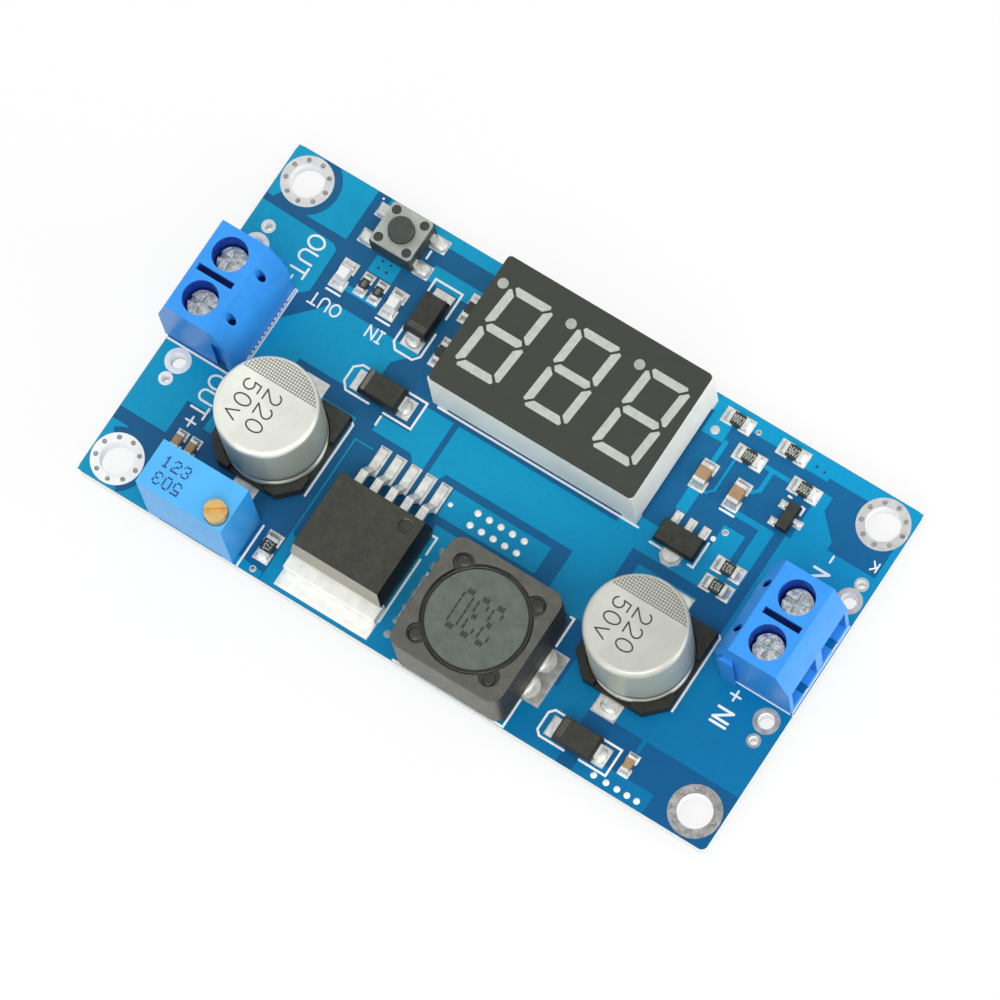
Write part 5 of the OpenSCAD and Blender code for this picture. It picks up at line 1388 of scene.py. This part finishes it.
class MODULE_OT_dress_switch(bpy.types.Operator):
    """Finish the push button: black base, steel cover and dark button"""

    bl_idname = "module.dress_switch"
    bl_label = "Push button"

    def execute(self, context):
        look = context.scene.module_stuff
        steel = finish("Stamped steel", look.steel, dark=0.8, Metallic=0.85)
        softened("switch_cover", steel)
        dress(finish("Switch base", look.button, 0.75, 0.5), "switch_base")
        dress(finish("Button", look.button, dark=0.75), "switch_button")
        self.snap_dome(steel)
        return {"FINISHED"}

    @staticmethod
    def snap_dome(steel):
        """Shallow steel cap: a parabola turned about its axis."""
        low, high = corners_of("switch_dome")
        x, y = (low + high)[:2] / 2
        radius = (high[0] - low[0]) / 2
        share = np.linspace(0, 1, 13)
        arch = low[2] + (high[2] - low[2] - DOME_SKIN) * (1 - share ** 2)
        inner = np.column_stack([radius * share, arch])
        outer = np.column_stack([radius * share, arch + DOME_SKIN])[::-1]
        shape = revolved(np.vstack([inner, outer]), x, y, steps=48)
        piece = make_piece("switch_dome_soft", shape, steel)
        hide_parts("switch_dome")
        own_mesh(piece)


# Largest radius of a display point in millimetres; a segment reaches further one way
POINT_REACH = 0.8
# Height of the caps on the display points, in millimetres
POINT_RISE = 0.02


class MODULE_OT_dress_display(bpy.types.Operator):
    """Finish the display: white housing, dark face, pale segments and points"""

    bl_idname = "module.dress_display"
    bl_label = "Display"

    def execute(self, context):
        look = context.scene.module_stuff
        white = finish("Display housing", look.housing, dark=0.92, Subsurface_Weight=0.1,
                       Subsurface_Radius=(0.001, 0.001, 0.001))
        segment = finish("Segments", look.segment, dark=0.84, Subsurface_Weight=0.15,
                         Subsurface_Radius=(0.0006, 0.0006, 0.0006))
        dress(white, "display_housing")
        dress(finish("Display face", look.face, dark=0.8), "display_face")
        dress(segment, "display_segments")
        dress(finish("Carrier board"), "display_carrier")
        dress(finish("Controller resin", look.resin, 0.7, 0.5), "microcontroller_body")
        caps = []
        for low, high, _ in solids("display_segments"):
            radius = (high[0] - low[0]) / 2
            if radius < POINT_REACH and high[1] - low[1] < 2 * POINT_REACH:
                caps.append(button_disc(*(low + high)[:2] / 2, high[2] - SINK, radius, POINT_RISE))
        point = finish("Points", look.segment, 0.76, 0.66)
        make_piece("display_points", joined(caps), point, CAST_ANGLE)
        return {"FINISHED"}


def resin_finish(look, name, share=1.0, front=None):
    """Dark moulding resin with a fine blasted grain, its brightness scaled by a share, with painted shade on
    its sides and front; a pale front colour, where given, is a painted reflection.
    """
    # Painted shade: much darker sides, and a darker front unless a painted reflection is given
    side = scaled(look.resin, 0.1 * share)
    front = front or scaled(look.resin, 0.5 * share)
    return finish(name, look.resin, 1.05 * share, 0.7 * share, side, front, "Resin", Specular_IOR_Level=0.3)


class MODULE_OT_dress_regulator(bpy.types.Operator):
    """Finish the power regulator: resin body and tinned tab"""

    bl_idname = "module.dress_regulator"
    bl_label = "Regulator"

    def execute(self, context):
        look = context.scene.module_stuff
        # Painted reflection on the body's front slope, and painted shade on its sides
        resin = resin_finish(look, "Moulding resin", front=look.bevel)
        softened("regulator_body", resin)
        softened("regulator_tab", bpy.data.materials["Bright tin"])
        return {"FINISHED"}


# Value stamped on the inductor: text, place from the core's middle, and its dots
INDUCTOR_VALUE = "330"
INDUCTOR_VALUE_SHIFT = (-0.2, 0.1)
INDUCTOR_DOTS = {"step": (0.25, 0.63), "pitch": 1.62, "dot": (0.12, 0.35), "turn": 180, "raise_by": 0.02}
# Distance of the shield's ears from the core's middle, along and across, in millimetres
EAR_PLACE = (4.1, 4.15)


class MODULE_OT_dress_inductor(bpy.types.Operator):
    """Finish the inductor: ferrite shield and core, glue between them and a stamped value"""

    bl_idname = "module.dress_inductor"
    bl_label = "Inductor"

    def execute(self, context):
        look = context.scene.module_stuff
        shield = self.ferrite("Shield ferrite", look.shield)
        core = self.ferrite("Core ferrite", look.ferrite)
        glue = finish("Glue", look.glue, dark=0.4)
        softened("inductor_shield", shield, segments=3)
        dress(core, "inductor_core")
        dress(glue, "inductor_glue")
        dress(finish("Winding", Metallic=0.8), "inductor_winding")
        x, y, _ = centre_of("inductor_core")
        make_piece("glue_bead", joined([self.bead(x, y), *self.lumps(x, y)]), glue, CAST_ANGLE)
        along, across = INDUCTOR_VALUE_SHIFT
        level = top_of("inductor_core") - SINK
        value = stamped(INDUCTOR_VALUE, x + along, y + across, level, **INDUCTOR_DOTS)
        make_piece("inductor_value", value, finish("Stamped ink"), 0)
        return {"FINISHED"}

    @staticmethod
    def ferrite(name, colour):
        """Pressed ferrite: mottled grey with pits and pale specks, with painted shade where it looks along
        the board and slight painted light where it looks forward.
        """
        material, graph = new_material(name)
        place = graph.place()
        tone = graph.group(
            "Mottle", Vector=place, Light=scaled(colour, 1.08), Dark=scaled(colour, 0.8), Scale=0.7)
        specks = graph.span(graph.noise(place, 5.0, 2.0), 0.68, 0.74)
        pits = graph.span(graph.noise(place, 3.3, 3.0), 0.33, 0.4)
        shade = graph.mix(graph.times(specks, 0.35), tone["Color"], scaled(colour, 2.2))
        shade = graph.mix(graph.times(graph.minus(1.0, pits), 0.15), shade, scaled(colour, 0.35))
        skin = graph.group("Grain", Vector=place, Scale=6.0, Low=0.42, High=0.6)
        height = graph.plus(skin["Height"], graph.times(pits, 0.8))
        # Painted shade on faces that look along the board, and slight painted light on forward faces
        shade = facing_shade(graph, shade, scaled(colour, 0.2), scaled(colour, 1.05))
        shaded(graph, Base_Color=shade, Roughness=skin["Roughness"], Normal=graph.bump(height, 0.02),
               Specular_IOR_Level=0.3)
        return material

    @staticmethod
    def bead(x, y):
        """Uneven bead of glue round the core: a half-round section whose width and height waver round the
        ring as a sum of sines."""
        angle = np.linspace(0, 2 * np.pi, 96, endpoint=False)
        waver = 0.5 + 0.22 * np.sin(3 * angle + 0.4) + 0.16 * np.sin(7 * angle + 1.1)
        waver = (waver + 0.12 * np.sin(13 * angle))[:, None]
        level = top_of("inductor_core")
        low, high = corners_of("inductor_core")
        radius = (high[0] - low[0]) / 2
        section = np.radians(np.linspace(0, 180, 7))
        out = radius + 0.24 + 0.06 * waver + 0.15 * np.cos(section) * (0.7 + 0.6 * waver)
        rise = level - 0.2 + (0.06 + 0.16 * waver) * np.sin(section)
        ring = np.stack([x + out * np.cos(angle)[:, None], y + out * np.sin(angle)[:, None], rise], -1)
        return loft(ring, loop=True)

    @staticmethod
    def lumps(x, y):
        """Lumps of glue in the shield's four ears: a wide low half ellipsoid and a small one beside."""
        level = top_of("inductor_glue") - SINK
        shapes = []
        for turn, (along, across) in enumerate([(1, 1), (-1, 1), (-1, -1), (1, -1)]):
            place = np.array([x + along * EAR_PLACE[0], y + across * EAR_PLACE[1]])
            shapes.append(mound(*place, level, 0.74 - 0.04 * turn, 0.6 + 0.05 * turn, 0.16))
            shift = 0.34 * np.array([math.cos(1.9 * turn), math.sin(1.9 * turn)])
            shapes.append(mound(*(place + shift), level + 0.05, 0.3, 0.24, 0.17, 14))
        return shapes


# Share of light on the cans and their bases at each end
CAN_LIGHT = {"output": 1.14, "input": 0.82}
BASE_LIGHT = {"output": 0.9, "input": 0.5}
# Share of light that the top of a can loses from one side to the other
CAN_FALL = 0.22
# Height of the crimp above the foot of a can, in millimetres
CRIMP_RISE = 2.15
# Hatched print on the cans: pitch, start as a share of the radius, and bare rim, in millimetres
HATCH_PITCH = 0.28
HATCH_START = 0.44
HATCH_RIM = 0.35
# Values on the cans: text and place from the can's middle, and their letters
CAN_VALUES = [("220", 0.15, -0.65), ("50V", -2.2, -0.65)]
CAN_LETTERS = {"height": 1.7, "turn": -90, "line": 0.15, "gap": 0.3, "stretch": 1.02, "raise_by": 0.025}


class MODULE_OT_dress_capacitors(bpy.types.Operator):
    """Finish the aluminium capacitors: cans, bases and printed values"""

    bl_idname = "module.dress_capacitors"
    bl_label = "Capacitors"

    def execute(self, context):
        look = context.scene.module_stuff
        marks = []
        for end in ENDS:
            can = end + "_capacitor_can"
            dress(self.can(look, end), can)
            base = resin_finish(look, end.capitalize() + " base", BASE_LIGHT[end])
            softened(end + "_capacitor_base", base)
            x, y, _ = centre_of(can)
            for text, along, across in CAN_VALUES:
                marks.append(words(text, x + along, y + across, top_of(can) - SINK, **CAN_LETTERS))
        ink = finish("Can ink", look.mark, dark=0.7)
        make_piece("can_values", joined(marks), ink, 0)
        return {"FINISHED"}

    @staticmethod
    def can(look, end):
        """Drawn aluminium, darker on its sides partly as painted shade, with a painted fall of light across
        the top, painted shade in the crimp, and a patch of hatched print on one side of the top.
        """
        share = CAN_LIGHT[end]
        low, high = corners_of(end + "_capacitor_can")
        radius = (high[0] - low[0]) / 2
        middle = centre_of(end + "_capacitor_can")
        material, graph = new_material(end.capitalize() + " can")
        place = graph.place((middle[0], middle[1], high[2]))
        x, y, z = graph.axes(place)
        tone = graph.group("Mottle", Vector=place, Light=scaled(look.aluminium, share),
                           Dark=scaled(look.aluminium, 0.88 * share), Scale=0.35)
        wave = 2 * math.pi / HATCH_PITCH
        stripes = [graph.math("SINE", graph.times(axis, wave)) for axis in (x, y)]
        weave = graph.math("MAXIMUM", *stripes)
        hatch = graph.span(weave, 0.35, 0.75)
        flat = graph.add("ShaderNodeCombineXYZ", {0: x, 1: y, 2: 0.0}).outputs[0]
        length = graph.add("ShaderNodeVectorMath", {0: flat}, operation="LENGTH").outputs["Value"]
        patch = graph.math("GREATER_THAN", y, HATCH_START * radius)
        patch = graph.times(patch, graph.math("LESS_THAN", length, radius - HATCH_RIM))
        patch = graph.times(patch, graph.math("GREATER_THAN", z, -HATCH_RIM))
        printed = graph.times(graph.times(patch, hatch), 0.85)
        up = graph.axes(graph.add("ShaderNodeTexCoord").outputs["Normal"])[2]
        flank = graph.span(graph.math("ABSOLUTE", up), 0.1, 0.5, 1.0, 0.0)
        fall = graph.span(x, -radius, radius, 0.0, CAN_FALL)
        # Painted light and shade: the top darkens from one side to the other, and the sides take the darker
        # flank colour, partly painted shade
        colour = graph.mix(flank, graph.mix(fall, tone["Color"], (0.0, 0.0, 0.0, 1.0)), look.flank)
        # Painted shade in the crimp groove
        rise = graph.minus(z, low[2] - high[2] + CRIMP_RISE)
        crimp = graph.span(graph.math("ABSOLUTE", rise), 0.15, 0.55, 1.0, 0.0)
        colour = graph.mix(crimp, colour, scaled(look.flank, 0.45))
        colour = graph.mix(printed, colour, look.hatch)
        skin = graph.group("Grain", Vector=place, Scale=3.5, Low=0.36, High=0.46)
        marks = graph.group("Scuffs", Vector=place, Scale=0.5, Share=0.2)
        rough = graph.plus(skin["Roughness"], graph.times(printed, 0.3))
        height = graph.plus(skin["Height"], graph.times(marks["Height"], 0.4))
        dull = graph.plus(graph.times(printed, 0.6), graph.times(flank, 0.3))
        metal = graph.minus(0.7, dull)
        shaded(graph, Base_Color=colour, Metallic=metal, Roughness=rough, Normal=graph.bump(height, 0.004))
        return material


# Values on the chip resistors: text, place and turn
RESISTOR_VALUES = [
    ("1002", 15.5, 17.6, 0), ("1002", 18.2, 15.1, 0), ("3602", 21.45, 17.65, 0), ("3002", 24.3, 15.1, 0),
    ("103", 22.4, 4.9, 180), ("103", 22.4, 2.85, 180), ("122", -15.3, -15.9, 90),
]
VALUE_LETTERS = {"height": 0.72, "line": 0.07, "gap": 0.17, "raise_by": 0.02}
# How much the letters of values with three numerals, and with more, are narrowed
SHORT_STRETCH = 0.56
LONG_STRETCH = 0.42
# Print across the rectifiers: inset from the cathode's end and width of each line, bare margin and height
WIDE_BAND = ((0.55, 0.4),)
THIN_BANDS = ((0.45, 0.06), (0.65, 0.06), (0.85, 0.06))
BAND_MARGIN = 0.4
BAND_RISE = 0.02
# Chip resistors smaller than this, shorter side first, get a pale patch of this width and half length
SMALL_CHIP = (0.9, 1.1)
PATCH_WIDTH = 0.4
PATCH_HALF = 0.14


class MODULE_OT_dress_small_parts(bpy.types.Operator):
    """Finish the rectifiers, three-lead parts, chip parts and indicator lamps"""

    bl_idname = "module.dress_small_parts"
    bl_label = "Small parts"

    def execute(self, context):
        look = context.scene.module_stuff
        resin = resin_finish(look, "Rectifier resin", 0.8)
        lamp = finish("Lamp resin", look.lamp, dark=0.95, Subsurface_Weight=0.25,
                      Subsurface_Radius=(0.001, 0.001, 0.0008))
        for part in ("diode_1", "diode_2", "diode_3", "logic_regulator", "transistor"):
            softened(part + "_body", resin)
        softened("chip_resistor_bodies", finish("Resistor film"))
        softened("chip_capacitor_bodies", finish("Ceramic", look.ceramic, dark=0.82))
        softened("chip_ends", bpy.data.materials["Tin"])
        for end in ENDS:
            softened(end + "_led", lamp)
        make_piece("resistor_values", joined(self.values()), finish("Value ink"), 0)
        bands = joined(self.bands() + self.small_marks())
        make_piece("cathode_bands", bands, finish("Pale band"), 0)
        return {"FINISHED"}

    @staticmethod
    def values():
        """Value printed on each large chip resistor, on the body nearest to its place."""
        bodies = solids("chip_resistor_bodies")
        middles = np.array([(low + high) / 2 for low, high, _ in bodies])
        shapes = []
        for text, x, y, turn in RESISTOR_VALUES:
            nearest = int(np.argmin(np.linalg.norm(middles[:, :2] - (x, y), axis=1)))
            level = bodies[nearest][1][2] - SINK
            stretch = LONG_STRETCH if len(text) > 3 else SHORT_STRETCH
            place = (*middles[nearest][:2], level)
            shapes.append(words(text, *place, turn=turn, stretch=stretch, **VALUE_LETTERS))
        return shapes

    @staticmethod
    def bands():
        """Pale print across each rectifier near its cathode: one wide band, or three thin lines."""
        shapes = []
        for number in (1, 2, 3):
            low, high = corners_of(f"diode_{number}_body")
            axis = int(np.argmax((high - low)[:2]))
            for inset, line in WIDE_BAND if number == 2 else THIN_BANDS:
                path = np.array([low[:2] + BAND_MARGIN, high[:2] - BAND_MARGIN])
                path[:, axis] = low[axis] + inset
                shapes.append(ribbon(path, line, high[2] - SINK, BAND_RISE))
        return shapes

    @staticmethod
    def small_marks():
        """Pale patch in the middle of each small chip resistor."""
        shapes = []
        for low, high, _ in solids("chip_resistor_bodies"):
            x, y = (low + high)[:2] / 2
            if (np.sort((high - low)[:2]) < SMALL_CHIP).all():
                path = [(x, y - PATCH_HALF), (x, y + PATCH_HALF)]
                shapes.append(ribbon(path, PATCH_WIDTH, high[2] - SINK, BAND_RISE))
        return shapes


# Half the floor's width in millimetres, its number of grid lines, its gap under the part, and its share of
# plain white where it is seen
FLOOR_REACH = 8000.0
FLOOR_LINES = 9
FLOOR_GAP = 0.02
FLOOR_GLOW = 0.82
WHITE = (1.0, 1.0, 1.0, 1.0)
# Lamps: name, place in metres, width in metres and colour
LAMPS = (
    ("key", (0.18, -0.3, 0.6), 0.5, (1.0, 1.0, 1.0)),
    ("front", (-0.05, -0.62, 0.16), 0.4, (1.0, 0.97, 0.9)),
    ("side", (0.6, 0.1, 0.2), 0.4, (1.0, 0.97, 0.9)),
)
SENSOR_WIDTH = 36.0
CLIP_END = 100.0


def seen_rays(graph):
    """One for rays that show a surface, straight, mirrored or through glass, and nought for plain light."""
    paths = graph.add("ShaderNodeLightPath").outputs
    shown = graph.math("MAXIMUM", paths["Is Camera Ray"], paths["Is Glossy Ray"])
    return graph.math("MAXIMUM", shown, paths["Is Transmission Ray"])


class MODULE_OT_set_stage(bpy.types.Operator):
    """Set the floor, the lamps, the sky and the camera"""

    bl_idname = "module.set_stage"
    bl_label = "Stage"

    def execute(self, context):
        look = context.scene.module_stage
        self.floor(look)
        self.sky(look)
        for name, place, width, colour in LAMPS:
            self.lamp(name + "_lamp", place, width, getattr(look, name), colour)
        self.camera(context, look)
        context.scene.view_settings.view_transform = "Standard"
        return {"FINISHED"}

    @staticmethod
    def floor(look):
        """Wide pale floor, shown nearly white, that keeps part of the shadow: a flat grid."""
        material, graph = new_material("Floor")
        cloth = graph.add("ShaderNodeBsdfDiffuse", {"Color": look.floor}).outputs[0]
        glow = graph.add("ShaderNodeEmission", {"Color": WHITE, "Strength": 1.0}).outputs[0]
        share = graph.times(seen_rays(graph), FLOOR_GLOW)
        both = graph.add("ShaderNodeMixShader", {0: share, 1: cloth, 2: glow}).outputs[0]
        graph.put(graph.add("ShaderNodeOutputMaterial").inputs["Surface"], both)
        line = np.linspace(-FLOOR_REACH, FLOOR_REACH, FLOOR_LINES)
        x, y = np.meshgrid(line, line, indexing="ij")
        level = cad_box[0].z / MM - FLOOR_GAP
        points = np.stack([x, y, np.full_like(x, level)], -1).reshape(-1, 3)
        row, column = np.meshgrid(np.arange(FLOOR_LINES - 1), np.arange(FLOOR_LINES - 1), indexing="ij")
        first = row * FLOOR_LINES + column
        after = first + FLOOR_LINES
        quads = np.stack([first, after, after + 1, first + 1], -1).reshape(-1, 4)
        mesh = bpy.data.meshes.new("floor")
        mesh.from_pydata((points * MM).tolist(), [], quads.tolist())
        mesh.materials.append(material)
        floor = bpy.data.objects.new("floor", mesh)
        bpy.context.scene.collection.objects.link(floor)

    @staticmethod
    def sky(look):
        """Even light, white where it is seen."""
        world = bpy.data.worlds.new("sky")
        world.use_nodes = True
        graph = Graph(world.node_tree)
        strength = graph.span(seen_rays(graph), 0.0, 1.0, look.sky, 1.0)
        back = graph.add("ShaderNodeBackground", {"Color": WHITE, "Strength": strength})
        graph.put(graph.add("ShaderNodeOutputWorld").inputs["Surface"], back.outputs[0])
        bpy.context.scene.world = world

    @staticmethod
    def lamp(name, place, width, power, colour):
        """Square soft lamp that faces the part."""
        data = bpy.data.lights.new(name, "AREA")
        data.size = width
        data.energy = power
        data.color = colour
        lamp = bpy.data.objects.new(name, data)
        lamp.location = place
        lamp.rotation_euler = (-Vector(place)).to_track_quat("-Z", "Y").to_euler()
        bpy.context.scene.collection.objects.link(lamp)

    @staticmethod
    def camera(context, look):
        """Camera on a ball round its target, turned about its own axis."""
        back = Vector((math.sin(look.azimuth) * math.cos(look.elevation),
                       -math.cos(look.azimuth) * math.cos(look.elevation), math.sin(look.elevation)))
        right = Vector((math.cos(look.azimuth), math.sin(look.azimuth), 0.0))
        up = back.cross(right)
        across = math.cos(look.roll) * right + math.sin(look.roll) * up
        upward = math.cos(look.roll) * up - math.sin(look.roll) * right
        data = bpy.data.cameras.new("camera")
        data.lens = look.lens
        data.sensor_width = SENSOR_WIDTH
        data.sensor_fit = "HORIZONTAL"
        data.clip_end = CLIP_END
        camera = bpy.data.objects.new("camera", data)
        turn = Matrix((across, upward, back)).transposed().to_4x4()
        camera.matrix_world = Matrix.Translation(Vector(look.target) + back * look.distance) @ turn
        context.scene.collection.objects.link(camera)
        context.scene.camera = camera


STEPS = (
    MODULE_OT_dress_board, MODULE_OT_print_board, MODULE_OT_tin_pads, MODULE_OT_dress_terminals,
    MODULE_OT_dress_trimmer, MODULE_OT_dress_switch, MODULE_OT_dress_display, MODULE_OT_dress_regulator,
    MODULE_OT_dress_inductor, MODULE_OT_dress_capacitors, MODULE_OT_dress_small_parts, MODULE_OT_set_stage)


class MODULE_PT_sidebar(bpy.types.Panel):
    """Lists the steps that dress the module"""

    bl_idname = "MODULE_PT_sidebar"
    bl_label = "Converter module"
    bl_space_type = "VIEW_3D"
    bl_region_type = "UI"
    bl_category = "Module"

    def draw(self, context):
        for step in STEPS:
            self.layout.operator(step.bl_idname)


CLASSES = (ModuleBoardLook, ModuleStuffLook, ModuleStageLook, *STEPS, MODULE_PT_sidebar)


def register():
    """Registers the classes and the looks of the scene."""
    for kind in CLASSES:
        bpy.utils.register_class(kind)
    bpy.types.Scene.module_board = bpy.props.PointerProperty(type=ModuleBoardLook)
    bpy.types.Scene.module_stuff = bpy.props.PointerProperty(type=ModuleStuffLook)
    bpy.types.Scene.module_stage = bpy.props.PointerProperty(type=ModuleStageLook)


def unregister():
    """Removes what register adds."""
    del bpy.types.Scene.module_stage
    del bpy.types.Scene.module_stuff
    del bpy.types.Scene.module_board
    for kind in reversed(CLASSES):
        bpy.utils.unregister_class(kind)


def main():
    """Dresses the module step by step."""
    register()
    build_groups()
    for step in STEPS:
        name = step.bl_idname.split(".")[1]
        getattr(bpy.ops.module, name)()


if __name__ == "__main__":
    main()
